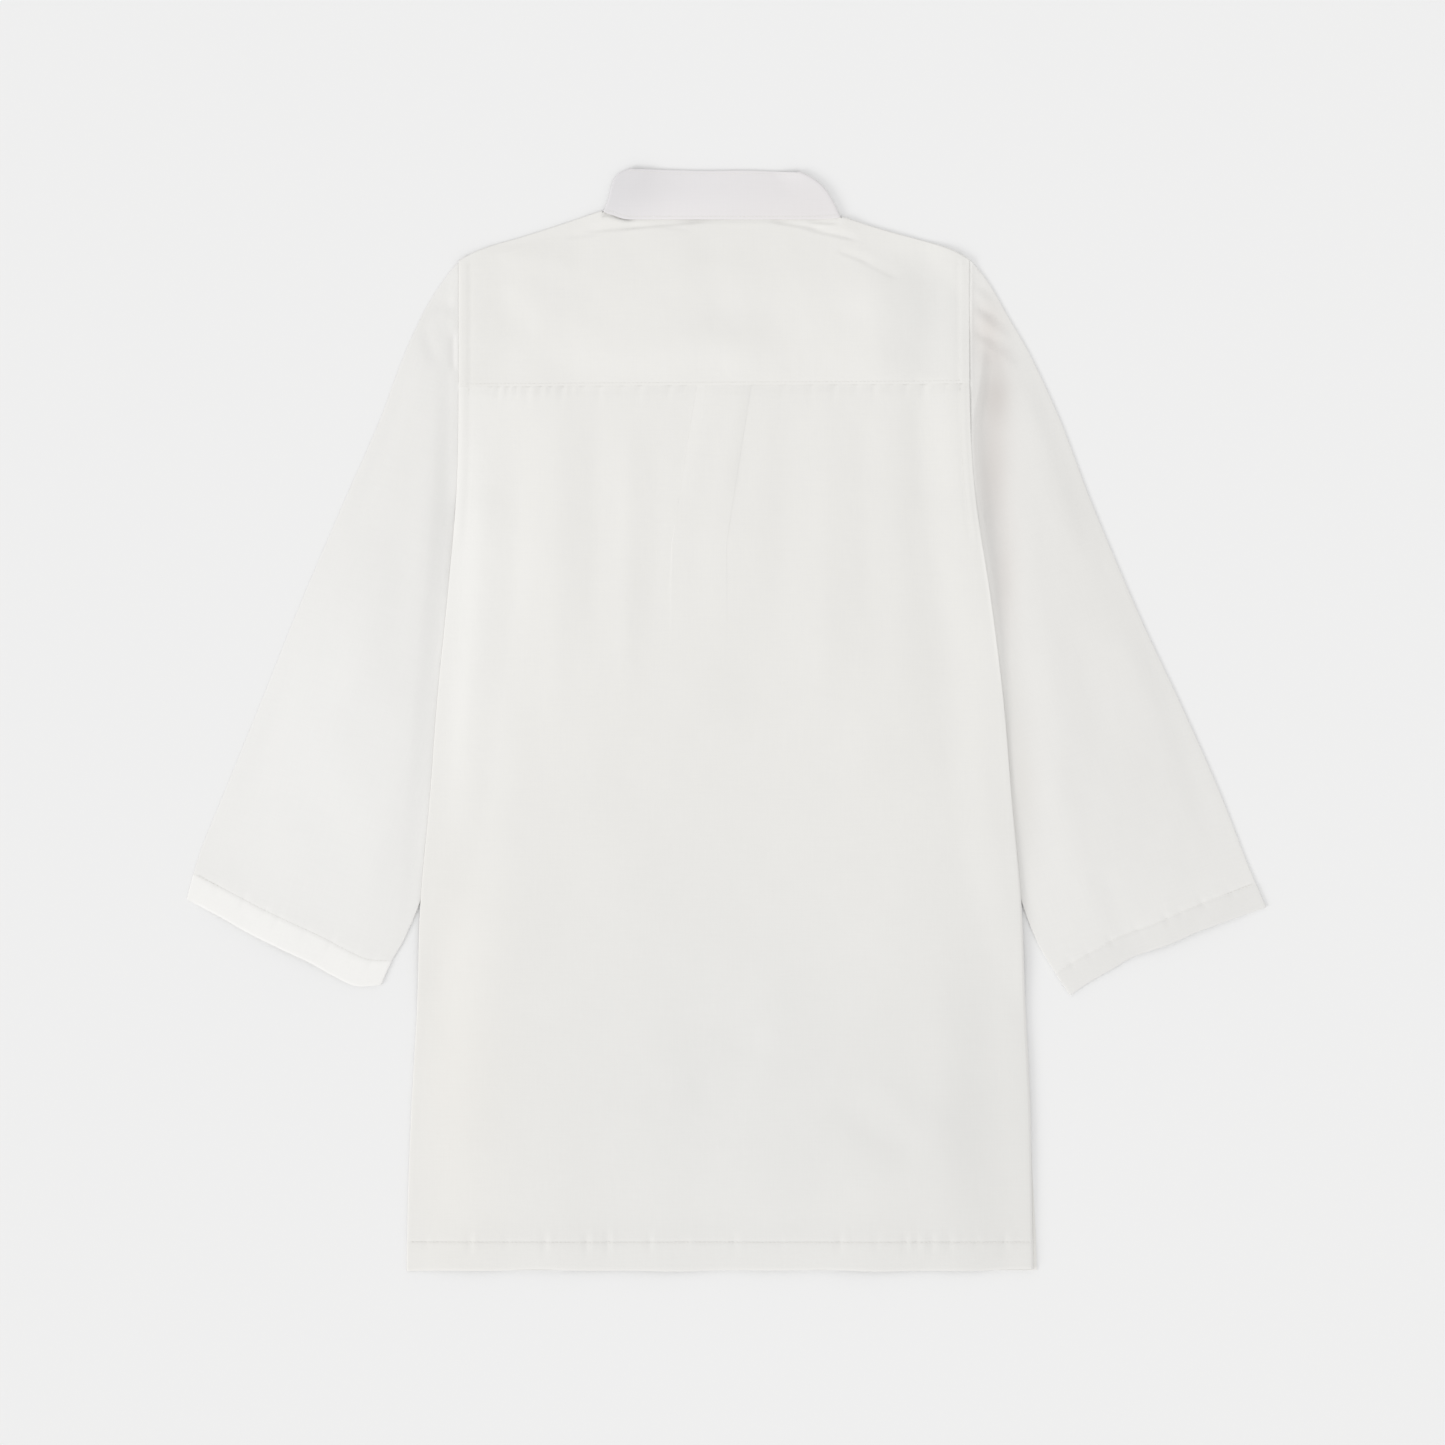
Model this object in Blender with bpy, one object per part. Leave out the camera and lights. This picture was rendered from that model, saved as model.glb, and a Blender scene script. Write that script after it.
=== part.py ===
"""A kameez, the long shirt of a kameez set, laid flat on its front and seen from its back.

Every length in this file is in millimetres until a mesh is made. X runs across the shirt
from its centre line, to the wearer's right. Y runs up the shirt from its back hem, and Z
rises from the table. The last step moves the whole shirt so that the origin is at the
bottom centre of its box.
"""
import math
from collections import namedtuple

import bmesh
import bpy
from mathutils import Vector

METRE = 0.001

# The cloth, and how its layers lie on each other
CLOTH = 1.0
HEM_EXTRA = 0.4
SEAM = 0.35
LAYER_GAP = 0.5
MOUTH_GAP = 0.5
TABLE = CLOTH / 2
SLEEVE_FOLD = 0.75
SLEEVE_TOP = TABLE + 2 * SLEEVE_FOLD + CLOTH / 2
EDGE_ROLL = 0.9
EDGE_ROOM = 0.85
LOOSE_ROOM = 1.8
LOOSE_RUN = 60.0

# Heights up the shirt
YOKE_SEAM = 707.6
YOKE_SEAM_TILT = 0.006
UNDERARM = 600.0
HEM = 22.0

# The mouth of each sleeve lies this far inside the body's edge, under it
MOUTH = {"left": -202.4, "right": 189.6}

# The body's two side edges, from the hem to the yoke seam
Edge = namedtuple("Edge", "height left right")
BODY_EDGES = [
    Edge(0, -252.0, 248.8),
    Edge(56, -251.2, 248.0),
    Edge(136, -248.0, 246.4),
    Edge(216, -243.6, 242.4),
    Edge(292, -241.2, 239.4),
    Edge(376, -233.6, 231.8),
    Edge(456, -227.6, 225.0),
    Edge(536, -219.6, 214.8),
    Edge(616, -212.6, 202.4),
    Edge(680, -210.8, 198.0),
    Edge(812, -210.4, 197.6),
]

# The outline of the shoulders, seen from above
Outline = namedtuple("Outline", "across height")
SHOULDERS = {
    "left": [
        Outline(-212.0, 806.4),
        Outline(-201.6, 812.4),
        Outline(-193.6, 816.0),
        Outline(-177.6, 821.4),
        Outline(-161.6, 825.8),
        Outline(-129.6, 836.0),
        Outline(-97.0, 847.0),
    ],
    "right": [
        Outline(97.0, 842.4),
        Outline(126.4, 832.8),
        Outline(158.4, 824.0),
        Outline(178.4, 818.2),
        Outline(189.0, 813.6),
        Outline(199.0, 807.4),
    ],
}

# The sleeves: a row for each section, from the mouth at share 0 to the cuff at share 1.
# Outer is the fold that carries on from the shoulder, inner is the fold from the underarm.
# Crown is how far the upper layer stands up between the two folds.
Section = namedtuple("Section", "share outer_x outer_y inner_x inner_y crown")
SLEEVES = {
    "left": [
        Section(0.00, -204.4, 810.6, -202.4, 600.0, 0.0),
        Section(0.04, -213.6, 803.2, -203.6, 580.0, 0.3),
        Section(0.09, -228.0, 784.0, -205.0, 560.0, 0.9),
        Section(0.14, -240.8, 761.6, -207.0, 536.0, 1.6),
        Section(0.20, -256.0, 727.2, -210.4, 504.0, 2.2),
        Section(0.28, -273.6, 680.0, -215.2, 464.0, 2.6),
        Section(0.40, -301.6, 616.0, -220.8, 416.0, 2.8),
        Section(0.54, -337.6, 532.0, -228.0, 360.0, 2.8),
        Section(0.68, -368.0, 456.0, -238.4, 304.0, 2.6),
        Section(0.82, -397.6, 383.2, -253.6, 265.6, 2.2),
        Section(0.92, -417.6, 333.6, -264.8, 246.0, 1.7),
        Section(1.00, -428.0, 296.8, -272.8, 228.0, 1.2),
    ],
    "right": [
        Section(0.00, 191.6, 812.2, 189.6, 600.0, 0.0),
        Section(0.04, 200.0, 806.4, 192.4, 580.0, 0.3),
        Section(0.09, 214.4, 788.0, 196.8, 560.0, 0.9),
        Section(0.14, 228.0, 764.0, 202.4, 536.0, 1.6),
        Section(0.20, 246.4, 732.0, 208.0, 504.0, 2.2),
        Section(0.28, 270.4, 680.0, 212.8, 464.0, 2.6),
        Section(0.40, 296.0, 612.8, 218.4, 416.0, 2.8),
        Section(0.54, 334.4, 522.4, 226.4, 360.0, 2.8),
        Section(0.68, 368.8, 448.8, 236.8, 304.0, 2.6),
        Section(0.82, 398.4, 381.6, 251.2, 264.0, 2.2),
        Section(0.92, 420.8, 324.0, 264.0, 241.6, 1.7),
        Section(1.00, 435.2, 290.4, 278.4, 220.0, 1.2),
    ],
}

# How far each cuff's edge bows out from a straight line, across from its outer fold
Bow = namedtuple("Bow", "across left right")
CUFF_BOWS = [
    Bow(0.00, 0.0, 0.0),
    Bow(0.20, 2.6, -3.0),
    Bow(0.35, 5.0, -4.6),
    Bow(0.50, 6.0, -4.8),
    Bow(0.66, 6.6, -7.4),
    Bow(0.78, 8.6, -5.2),
    Bow(0.90, 8.6, -3.2),
    Bow(1.00, 0.0, 0.0),
]
CUFF_BOW_SHARE = 0.12

# The sleeves' upper layers rise this far from the body's edge, and are roundest near their folds
CROWN_START = 2.0
CROWN_RUN = 24.0
CROWN_ROUNDNESS = 0.75
CREASE_REACH = 1.6

# Soft ridges and troughs in the sleeves' upper layers, each along a straight line
Crease = namedtuple("Crease", "start_x start_y end_x end_y rise width")
CREASES = {
    "left": [
        Crease(-219.0, 768.0, -236.0, 776.0, 0.9, 6.0),
        Crease(-216.0, 742.0, -244.0, 722.0, 0.8, 9.0),
        Crease(-250.0, 700.0, -292.0, 560.0, -0.7, 14.0),
        Crease(-262.0, 560.0, -318.0, 400.0, 0.7, 16.0),
        Crease(-340.0, 480.0, -372.0, 380.0, -0.6, 14.0),
    ],
    "right": [
        Crease(205.0, 778.0, 226.0, 772.0, 0.9, 6.0),
        Crease(203.0, 752.0, 232.0, 740.0, 0.8, 8.0),
        Crease(244.0, 700.0, 286.0, 560.0, 0.8, 13.0),
        Crease(262.0, 540.0, 322.0, 380.0, -0.7, 16.0),
        Crease(352.0, 470.0, 386.0, 360.0, 0.6, 14.0),
    ],
}

# How far the body's right edge is held up, in front and back, by the sleeve bunched under it
Lift = namedtuple("Lift", "height front back")
RIGHT_LIFTS = [
    Lift(380, 0.0, 0.0),
    Lift(480, 2.2, 2.2),
    Lift(560, 3.0, 3.0),
    Lift(600, 2.0, 2.4),
    Lift(618, 0.2, 1.6),
    Lift(690, 0.0, 1.4),
    Lift(770, 0.0, 0.0),
]

# How the front and the back come down beside what lies under them: level, then a soft slope
Slope = namedtuple("Slope", "flat run")
RIGHT_LIFT_SLOPE = Slope(5.0, 40.0)
FRONT_OFF_SLEEVE = Slope(5.0, 14.0)
BACK_OFF_SLEEVE = Slope(8.0, 34.0)
BACK_OFF_MOUTH = Slope(4.0, 30.0)

# The box pleat: where its two folds stand at the yoke seam, and how they drift and open
Fold = namedtuple("Fold", "at_seam drift")
PLEAT_FOLDS = {"left": Fold(-20.0, -16.0), "right": Fold(23.2, -16.0)}
PLEAT_DEPTH = 10.0
PLEAT_CLOSED = 105.0
PLEAT_OPENED = 240.0
PLEAT_FADE = 380.0
PLEAT_DRIFT_END = 1.6
PLEAT_SIDE = 4.0
PLEAT_STEP = 2.8
PLEAT_STRAIGHT = 0.6
PLEAT_FLATTEST = 10.0
PLEAT_OPEN_RADIUS = 0.5
PLEAT_SAG = 1.2
PLEAT_FIRM = PLEAT_DEPTH + 2.0

# Gathers along the yoke seam: the place across, the depth and how far down they run
Gather = namedtuple("Gather", "place depth run")
GATHERS = {
    "left": [
        Gather(-180.0, 0.6, 42.0),
        Gather(-172.0, 0.5, 30.0),
        Gather(-165.0, 0.4, 36.0),
        Gather(-156.0, 0.6, 50.0),
        Gather(-145.6, 0.6, 34.0),
        Gather(-137.0, 0.4, 40.0),
        Gather(-121.0, 0.5, 60.0),
        Gather(-98.0, 0.4, 45.0),
        Gather(-66.0, 0.5, 70.0),
        Gather(-42.0, 0.4, 50.0),
    ],
    "right": [
        Gather(50.0, 0.4, 50.0),
        Gather(90.4, 0.5, 60.0),
        Gather(122.4, 0.5, 44.0),
        Gather(148.0, 0.4, 36.0),
        Gather(162.4, 0.6, 52.0),
        Gather(180.0, 0.4, 34.0),
    ],
}
GATHER_WIDTH = 3.2

# The neck: the collar band's foot along the back, and its front dip
FRONT_CENTRE = 1.6
FRONT_NECK = 788.8
NECK_SLOPE = math.radians(50.0)
NECK_REACH = 40.0
NECK = {"left": Vector((-95.4, 845.4)), "right": Vector((95.4, 841.2))}
BACK_NECK = 840.2
BACK_NECK_CORNER = 20.0
YOKE_FRONT = 24.0
YOKE_FRONT_GAP = 0.65

# The front shows past the back at the right corner of the hem
FRONT_PEEK = 3.0
FRONT_PEEK_HEIGHT = 110.0

COLLAR = 1.6
COLLAR_HEIGHT = 39.0
COLLAR_BACK_LEVEL = 3.6
COLLAR_FRONT_LEVEL = COLLAR / 2
COLLAR_END_GAP = 1.0
COLLAR_TOP = [
    Outline(-73.6, 880.0),
    Outline(-60.0, 880.2),
    Outline(-17.6, 879.0),
    Outline(22.4, 879.2),
    Outline(54.4, 877.8),
    Outline(62.4, 877.4),
]

# Where each end of the collar is folded, its top corner, and how the fold bows out to it
CollarFold = namedtuple("CollarFold", "top_x top_y bow lean")
COLLAR_FOLDS = {
    "left": CollarFold(-73.6, 880.0, 6.3, 1.7),
    "right": CollarFold(62.4, 877.4, 6.0, 1.15),
}
COLLAR_BOW_RUN = 30.0
COLLAR_TURN_SHARE = 0.4

# The neck opening in the front
PLACKET_WIDTH = 28.0
SLOT_HALF = PLACKET_WIDTH / 2 + 0.35
SLOT_FOOT = 520.0
BUTTON_RADIUS = 5.5
BUTTON_THICK = 1.4
BUTTON_LIFT = 0.1
BUTTON_BEVEL = 0.5
BUTTON_RIM = 0.9
BUTTON_DISH = 0.5
BUTTON_STEPS = 20
BUTTON_HOLES = 4
BUTTON_HOLE_RADIUS = 0.8
BUTTON_HOLE_PLACE = 1.5
BUTTON_HOLE_SIDES = 8
BUTTON_PLACES = [756.0, 688.0, 620.0]
BUTTON_BUMP = BUTTON_THICK + 0.4
STRIP_OFF_BUTTON = Slope(9.0, 4.4)
BACK_BUMP = 2.0
BACK_OFF_BUTTON = Slope(20.0, 45.0)

SIDES = ("left", "right")
OUTWARD = {"left": -1.0, "right": 1.0}
FAR = 1e6
NEAR_SHARE = 0.01
FOLD_POINTS = 24
HALVINGS = 40
MITRE_LIMIT = 0.6
SHARP = math.radians(50.0)


# Curves and tables

def smooth(value):
    """A soft step from 0 to 1."""
    value = min(max(value, 0.0), 1.0)
    return value * value * (3.0 - 2.0 * value)


def mix(first, second, share):
    return first + (second - first) * share


def follow(rows, key, field, at):
    """One column of a table, read between its rows on a smooth curve."""
    places = [getattr(row, key) for row in rows]
    values = [getattr(row, field) for row in rows]
    last = len(rows) - 1
    at = min(max(at, places[0]), places[-1])
    k = 0
    while k < last - 1 and at > places[k + 1]:
        k += 1

    def slope(n):
        low = max(n - 1, 0)
        high = min(n + 1, last)
        return (values[high] - values[low]) / (places[high] - places[low])

    width = places[k + 1] - places[k]
    f = (at - places[k]) / width
    rise = values[k + 1] - values[k]
    start = slope(k) * width
    end = slope(k + 1) * width
    return values[k] + f * (start + f * (3 * rise - 2 * start - end + f * (start + end - 2 * rise)))


def slope_down(slope, away):
    """From 1 on the level down to 0 at the foot of a soft slope."""
    return 1.0 - smooth((away - slope.flat) / slope.run)


def body_edge(side, height):
    """The outline of the body's side at a height."""
    return follow(BODY_EDGES, "height", side, height)


def armhole(side):
    """The x of the edge that the front and the yoke have inside a sleeve's mouth."""
    return MOUTH[side] - OUTWARD[side] * MOUTH_GAP


def slot_edge(side):
    """The x of the neck opening's edge on one side."""
    return FRONT_CENTRE + OUTWARD[side] * SLOT_HALF


def seam_height(across):
    """The yoke seam runs straight across, a little higher on the right."""
    return YOKE_SEAM + YOKE_SEAM_TILT * across


def bezier(points, share):
    a, b, c, d = points
    rest = 1.0 - share
    return a * rest**3 + b * 3 * rest**2 * share + c * 3 * rest * share**2 + d * share**3


def front_neck(side):
    """The four points of the curve that the collar's foot follows on the front."""
    outward = OUTWARD[side]
    start = NECK[side]
    centre = FRONT_CENTRE + outward * COLLAR_END_GAP / 2
    end = Vector((centre, FRONT_NECK))
    lean = Vector((-outward * math.cos(NECK_SLOPE), -math.sin(NECK_SLOPE))) * NECK_REACH
    return (start, start + lean, end + Vector((outward * NECK_REACH, 0.0)), end)


def neck_share(side, field, value):
    """Where the front neck curve has a given x (field 0) or y (field 1)."""
    points = front_neck(side)
    low, high = 0.0, 1.0
    rising = bezier(points, 1.0)[field] > bezier(points, 0.0)[field]
    for _ in range(HALVINGS):
        middle = (low + high) / 2
        if (bezier(points, middle)[field] < value) == rising:
            low = middle
        else:
            high = middle
    return (low + high) / 2


def ahead_on_neck(side, share):
    """A short step along the front neck curve."""
    points = front_neck(side)
    return bezier(points, min(share + NEAR_SHARE, 1.0)) - bezier(points, max(share - NEAR_SHARE, 0.0))


def neck_drop(side, drop):
    """The point of the front neck curve that lies a way below the neck point."""
    return bezier(front_neck(side), neck_share(side, 1, NECK[side].y - drop))


# Heights of the layers

def sleeve_point(side, share, edge):
    """A point on one of a sleeve's two folds, seen from above."""
    rows = SLEEVES[side]
    return Vector((follow(rows, "share", edge + "_x", share), follow(rows, "share", edge + "_y", share)))


UNDERARM_FOLDS = {
    side: [sleeve_point(side, k / FOLD_POINTS, "inner") for k in range(FOLD_POINTS + 1)]
    for side in SIDES
}


def distance_to_line(point, start, end):
    along = end - start
    share = (point - start).dot(along) / along.length_squared
    return (point - start - along * min(max(share, 0.0), 1.0)).length


def sleeve_distance(side, x, y):
    """How far a place in the body lies from the sleeve that is tucked under it."""
    fold = UNDERARM_FOLDS[side]
    place = Vector((x, y))
    outward = OUTWARD[side]
    nearest = FAR
    for start, end in zip(fold, fold[1:]):
        if end.y <= y <= start.y:
            share = (start.y - y) / (start.y - end.y)
            if outward * (x - mix(start.x, end.x, share)) >= 0.0:
                return 0.0
        nearest = min(nearest, distance_to_line(place, start, end))
    return nearest


def right_lift(field, x, y):
    """The body's right edge is held up by the sleeve bunched under it."""
    inside = body_edge("right", y) - x
    return follow(RIGHT_LIFTS, "height", field, y) * slope_down(RIGHT_LIFT_SLOPE, inside)


def soft_greater(first, second):
    """The greater of two heights, with a smooth change from one to the other."""
    return (first**4 + second**4) ** 0.25


FRONT_LIFT = SLEEVE_TOP + LAYER_GAP
ARMHOLE_LIFT = SLEEVE_TOP + LAYER_GAP + EDGE_ROLL - TABLE - CLOTH - EDGE_ROOM


def front_level(x, y):
    """Middle of the front's cloth: on the table, and up over the sleeves at the sides."""
    over = max(slope_down(FRONT_OFF_SLEEVE, sleeve_distance(side, x, y)) for side in SIDES)
    return TABLE + FRONT_LIFT * over + right_lift("front", x, y)


def back_level(x, y):
    """Middle of the back's and yoke's cloth, without pleat and gathers."""
    inside = min(x - body_edge("left", y), body_edge("right", y) - x)
    loose = mix(EDGE_ROOM, LOOSE_ROOM, smooth(inside / LOOSE_RUN))
    lift = 0.0
    for side in SIDES:
        over_sleeve = FRONT_LIFT * slope_down(BACK_OFF_SLEEVE, sleeve_distance(side, x, y))
        past_mouth = max(OUTWARD[side] * (MOUTH[side] - x), 0.0)
        below = max(UNDERARM - y, 0.0)
        over_mouth = ARMHOLE_LIFT * slope_down(BACK_OFF_MOUTH, math.hypot(past_mouth, below))
        lift += soft_greater(over_sleeve, over_mouth)
    bump = 0.0
    for place in BUTTON_PLACES:
        away = math.hypot(x - FRONT_CENTRE, y - place)
        bump = max(bump, BACK_BUMP * slope_down(BACK_OFF_BUTTON, away))
    hems = 2 * HEM_EXTRA * (1.0 - smooth((y - HEM) / HEM))
    return TABLE + CLOTH + loose + hems + lift + bump + right_lift("back", x, y)


# Walls of cloth

def unit_sum(chords):
    """The mean direction of the chords that meet at a point, and their mitre."""
    total = Vector((0.0, 0.0, 0.0))
    for chord in chords:
        total += chord.normalized()
    mean = total.normalized()
    half = total.length / len(chords)
    return mean, 1.0 / max(half, MITRE_LIMIT)


def wall_mesh(name, grid, outer, inner, loop=False, skip=None):
    """A closed wall of cloth on a grid of points, outer and inner millimetres from its middle.

    With loop, each row is a closed ring. Skip names the cells that are left out. Inner may be
    a function of the row and the column, where a hem makes the cloth thicker.
    """
    rows = len(grid)
    columns = len(grid[0])
    cells = set()
    for r in range(rows - 1):
        for c in range(columns if loop else columns - 1):
            if skip is None or not skip(r, c):
                cells.add((r, c))

    def wrap(c):
        return c % columns if loop else c

    def kept(r, c):
        return (r, wrap(c)) in cells

    def normal(r, c):
        across = []
        up = []
        here = grid[r][wrap(c)]
        if kept(r - 1, c - 1) or kept(r, c - 1):
            across.append(here - grid[r][wrap(c - 1)])
        if kept(r - 1, c) or kept(r, c):
            across.append(grid[r][wrap(c + 1)] - here)
        if kept(r - 1, c - 1) or kept(r - 1, c):
            up.append(here - grid[r - 1][wrap(c)])
        if kept(r, c - 1) or kept(r, c):
            up.append(grid[r + 1][wrap(c)] - here)
        along, along_mitre = unit_sum(across)
        rising, rising_mitre = unit_sum(up)
        return along.cross(rising).normalized() * (along_mitre * rising_mitre)

    mesh = bmesh.new()
    corners = {}
    for r, c in sorted(cells):
        for place in ((r, c), (r, wrap(c + 1)), (r + 1, c), (r + 1, wrap(c + 1))):
            if place not in corners:
                point = grid[place[0]][place[1]]
                lean = normal(*place)
                depth = inner(*place) if callable(inner) else inner
                over = mesh.verts.new((point + lean * outer) * METRE)
                under = mesh.verts.new((point - lean * depth) * METRE)
                corners[place] = (over, under)
    for r, c in sorted(cells):
        ring = [(r, c), (r, wrap(c + 1)), (r + 1, wrap(c + 1)), (r + 1, c)]
        mesh.faces.new([corners[place][0] for place in ring])
        mesh.faces.new([corners[place][1] for place in (ring[0], ring[3], ring[2], ring[1])])
        sides = (((r - 1, c), 0, 1), ((r, c + 1), 1, 2), ((r + 1, c), 2, 3), ((r, c - 1), 3, 0))
        for neighbour, first, second in sides:
            if not kept(*neighbour):
                a = corners[ring[first]]
                b = corners[ring[second]]
                mesh.faces.new((a[0], a[1], b[1], b[0]))
    bmesh.ops.recalc_face_normals(mesh, faces=mesh.faces)
    data = bpy.data.meshes.new(name)
    mesh.to_mesh(data)
    mesh.free()
    return data


def add_piece(name, data, colour, roughness):
    """A named object with a material of its own."""
    piece = bpy.data.objects.new(name, data)
    bpy.context.scene.collection.objects.link(piece)
    material = bpy.data.materials.new(name)
    material.use_nodes = True
    shader = material.node_tree.nodes["Principled BSDF"]
    shader.inputs["Base Color"].default_value = (*colour, 1.0)
    shader.inputs["Roughness"].default_value = roughness
    shader.inputs["Metallic"].default_value = 0.0
    data.materials.append(material)
    data.shade_smooth()
    data.set_sharp_from_angle(angle=SHARP)
    return piece


WHITE_COTTON = (0.83, 0.81, 0.78)
COLLAR_COTTON = (0.78, 0.77, 0.78)
BUTTON_WHITE = (0.86, 0.86, 0.84)
COTTON_ROUGHNESS = 0.9
BUTTON_ROUGHNESS = 0.35


# The back panel, with its box pleat and gathers

BACK_ROWS = [0, 21, 23, 60, 112, 165, 216, 262, 292, 328, 376, 430, 484, 530, 554, 572, 586,
             600, 628]
BACK_TOP_DROPS = [58.0, 40.0, 25.0, 13.0, 5.0, 0.0]
LEFT_COLUMNS = [-196.0, -187.0, -180.0, -176.0, -172.0, -168.6, -165.0, -160.6, -156.0, -150.8, -145.6,
                -141.4, -137.0, -129.0, -121.0, -110.0, -98.0, -82.0, -66.0, -54.0, -42.0, -34.0]
RIGHT_COLUMNS = [36.0, 50.0, 62.0, 78.0, 90.4, 104.0, 122.4, 138.0, 148.0, 155.0, 162.4, 170.0, 180.0,
                 188.0]
ROLL_TURNS = [90.0, 60.0, 30.0, 0.0]
FOLD_STEPS = 4


def pleat_fold(side, below):
    """Where a fold of the pleat stands, some way below the yoke seam."""
    fold = PLEAT_FOLDS[side]
    return fold.at_seam + fold.drift * min(below / PLEAT_CLOSED, PLEAT_DRIFT_END)


def pleat_step(below):
    """How far the pleat's centre stands above the cloth beside it."""
    return PLEAT_STEP * (1.0 - smooth((below - PLEAT_OPENED) / (PLEAT_FADE - PLEAT_OPENED)))


def pleat_path(side, below):
    """One fold of the pleat, from the cloth beside it up to its centre, as (x, rise).

    The cloth turns one way, runs straight, and turns back by the same angle. A half turn
    makes a pressed fold with its layers under the centre. Further down the turn is less,
    until the fold is only a soft slope.
    """
    inward = -OUTWARD[side]
    opening = smooth((below - PLEAT_CLOSED) / (PLEAT_OPENED - PLEAT_CLOSED)) ** 0.5
    turn = math.radians(mix(180.0, PLEAT_FLATTEST, opening))
    radius = PLEAT_STEP * mix(1.0, PLEAT_OPEN_RADIUS, opening) / (2.0 * (1.0 - math.cos(turn)))
    straight = PLEAT_STRAIGHT + PLEAT_DEPTH * max(1.0 - below / PLEAT_CLOSED, 0.0)
    if opening > 0.0:
        straight = (PLEAT_STEP - 2.0 * radius * (1.0 - math.cos(turn))) / math.sin(turn)
        straight = max(straight, PLEAT_STRAIGHT)
    path = [(0.0, 0.0)]
    for k in range(1, FOLD_STEPS + 1):
        angle = turn * k / FOLD_STEPS
        path.append((radius * math.sin(angle), radius * (1.0 - math.cos(angle))))
    run = path[-1][0] + straight * math.cos(turn)
    rise = path[-1][1] + straight * math.sin(turn)
    path.append((run, rise))
    for k in range(1, FOLD_STEPS + 1):
        angle = turn * (1.0 - k / FOLD_STEPS)
        path.append((run + radius * (math.sin(turn) - math.sin(angle)),
                     rise + radius * (math.cos(angle) - math.cos(turn))))
    end, top = path[-1]
    fold = pleat_fold(side, below)
    share = pleat_step(below) / top
    return [(fold + inward * (run - end), rise * share) for run, rise in path]


def gather_drop(place, below):
    """How deep the gathers are at a place along the yoke seam."""
    drop = 0.0
    for side in SIDES:
        for gather in GATHERS[side]:
            near = math.exp(-(((place - gather.place) / GATHER_WIDTH) ** 2))
            drop += gather.depth * near * (1.0 - smooth(below / gather.run))
    return drop


def edge_roll(side, height):
    """The body's side edge, where the back's cloth turns down to the front."""
    edge = body_edge(side, height)
    inward = -OUTWARD[side]
    for turn in ROLL_TURNS:
        angle = math.radians(turn)
        x = edge + inward * (CLOTH / 2 + EDGE_ROLL * (1.0 - math.sin(angle)))
        yield x, EDGE_ROLL * (1.0 - math.cos(angle))


def back_row(height, below):
    """One row of the back panel, from the left edge to the right."""
    row = []

    def place(x, rise, seam_place=None):
        y = height
        if below <= BACK_TOP_DROPS[0]:
            y = seam_height(x) - SEAM / 2 - below
        drop = gather_drop(seam_place, below) if seam_place is not None else 0.0
        row.append(Vector((x, y, back_level(x, y) + rise - drop)))

    left_edge = body_edge("left", height)
    right_edge = body_edge("right", height)
    left_top = body_edge("left", YOKE_SEAM)
    right_top = body_edge("right", YOKE_SEAM)
    left_fold = pleat_path("left", below)
    right_fold = pleat_path("right", below)
    left_base = min(left_fold[0][0], pleat_fold("left", below)) - PLEAT_SIDE
    right_base = max(right_fold[0][0], pleat_fold("right", below)) + PLEAT_SIDE
    for x, drop in edge_roll("left", height):
        place(x, -drop)
    for seam_place in LEFT_COLUMNS:
        share = (seam_place - left_top) / (PLEAT_FOLDS["left"].at_seam - PLEAT_SIDE - left_top)
        place(mix(left_edge, left_base, share), 0.0, seam_place)
    for x, rise in left_fold:
        place(x, rise)
    step = pleat_step(below)
    left_x = left_fold[-1][0]
    right_x = right_fold[-1][0]
    sag = PLEAT_SAG * step / PLEAT_STEP
    place(left_x + PLEAT_FIRM, step)
    place((left_x + right_x) / 2, step - sag)
    place(right_x - PLEAT_FIRM, step)
    for x, rise in reversed(right_fold):
        place(x, rise)
    for seam_place in RIGHT_COLUMNS:
        share = (seam_place - right_top) / (PLEAT_FOLDS["right"].at_seam + PLEAT_SIDE - right_top)
        place(mix(right_edge, right_base, share), 0.0, seam_place)
    for x, drop in reversed(list(edge_roll("right", height))):
        place(x, -drop)
    return row


def build_back_panel():
    rows = [back_row(height, YOKE_SEAM - height) for height in BACK_ROWS]
    rows += [back_row(YOKE_SEAM - drop, drop) for drop in BACK_TOP_DROPS]

    def inner(row, column):
        rolled = column < len(ROLL_TURNS) or column >= len(rows[0]) - len(ROLL_TURNS)
        turned_up = row <= 1 and not rolled
        return CLOTH / 2 + (HEM_EXTRA if turned_up else 0.0)

    data = wall_mesh("back_panel", rows, CLOTH / 2, inner)
    return add_piece("back_panel", data, WHITE_COTTON, COTTON_ROUGHNESS)


# The yoke: up the back, over the shoulder line and a short way down the front

YOKE_SHARES = [0.0, 0.18, 0.4, 0.62, 0.82, 1.0]
YOKE_ARC = [36.0, 72.0, 108.0, 144.0]
YOKE_FRONT_DROPS = [0.0, 12.0, YOKE_FRONT]
LAP_MIDDLE = 3.1
YOKE_COLUMNS = {
    "left": [-190.0, -170.0, -148.0, -122.0],
    "neck": [-78.0, -60.0, -38.0, -19.0, 1.6, 22.0, 42.0, 60.0, 78.0],
    "right": [122.0, 148.0, 170.0, 182.0],
}


def shoulder_centre(x, level):
    """The line that the yoke's cloth turns round at the shoulder."""
    side = "left" if x < 0.0 else "right"
    radius = (level - TABLE) / 2
    return follow(SHOULDERS[side], "across", "height", x) - radius - CLOTH / 2, radius


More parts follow.
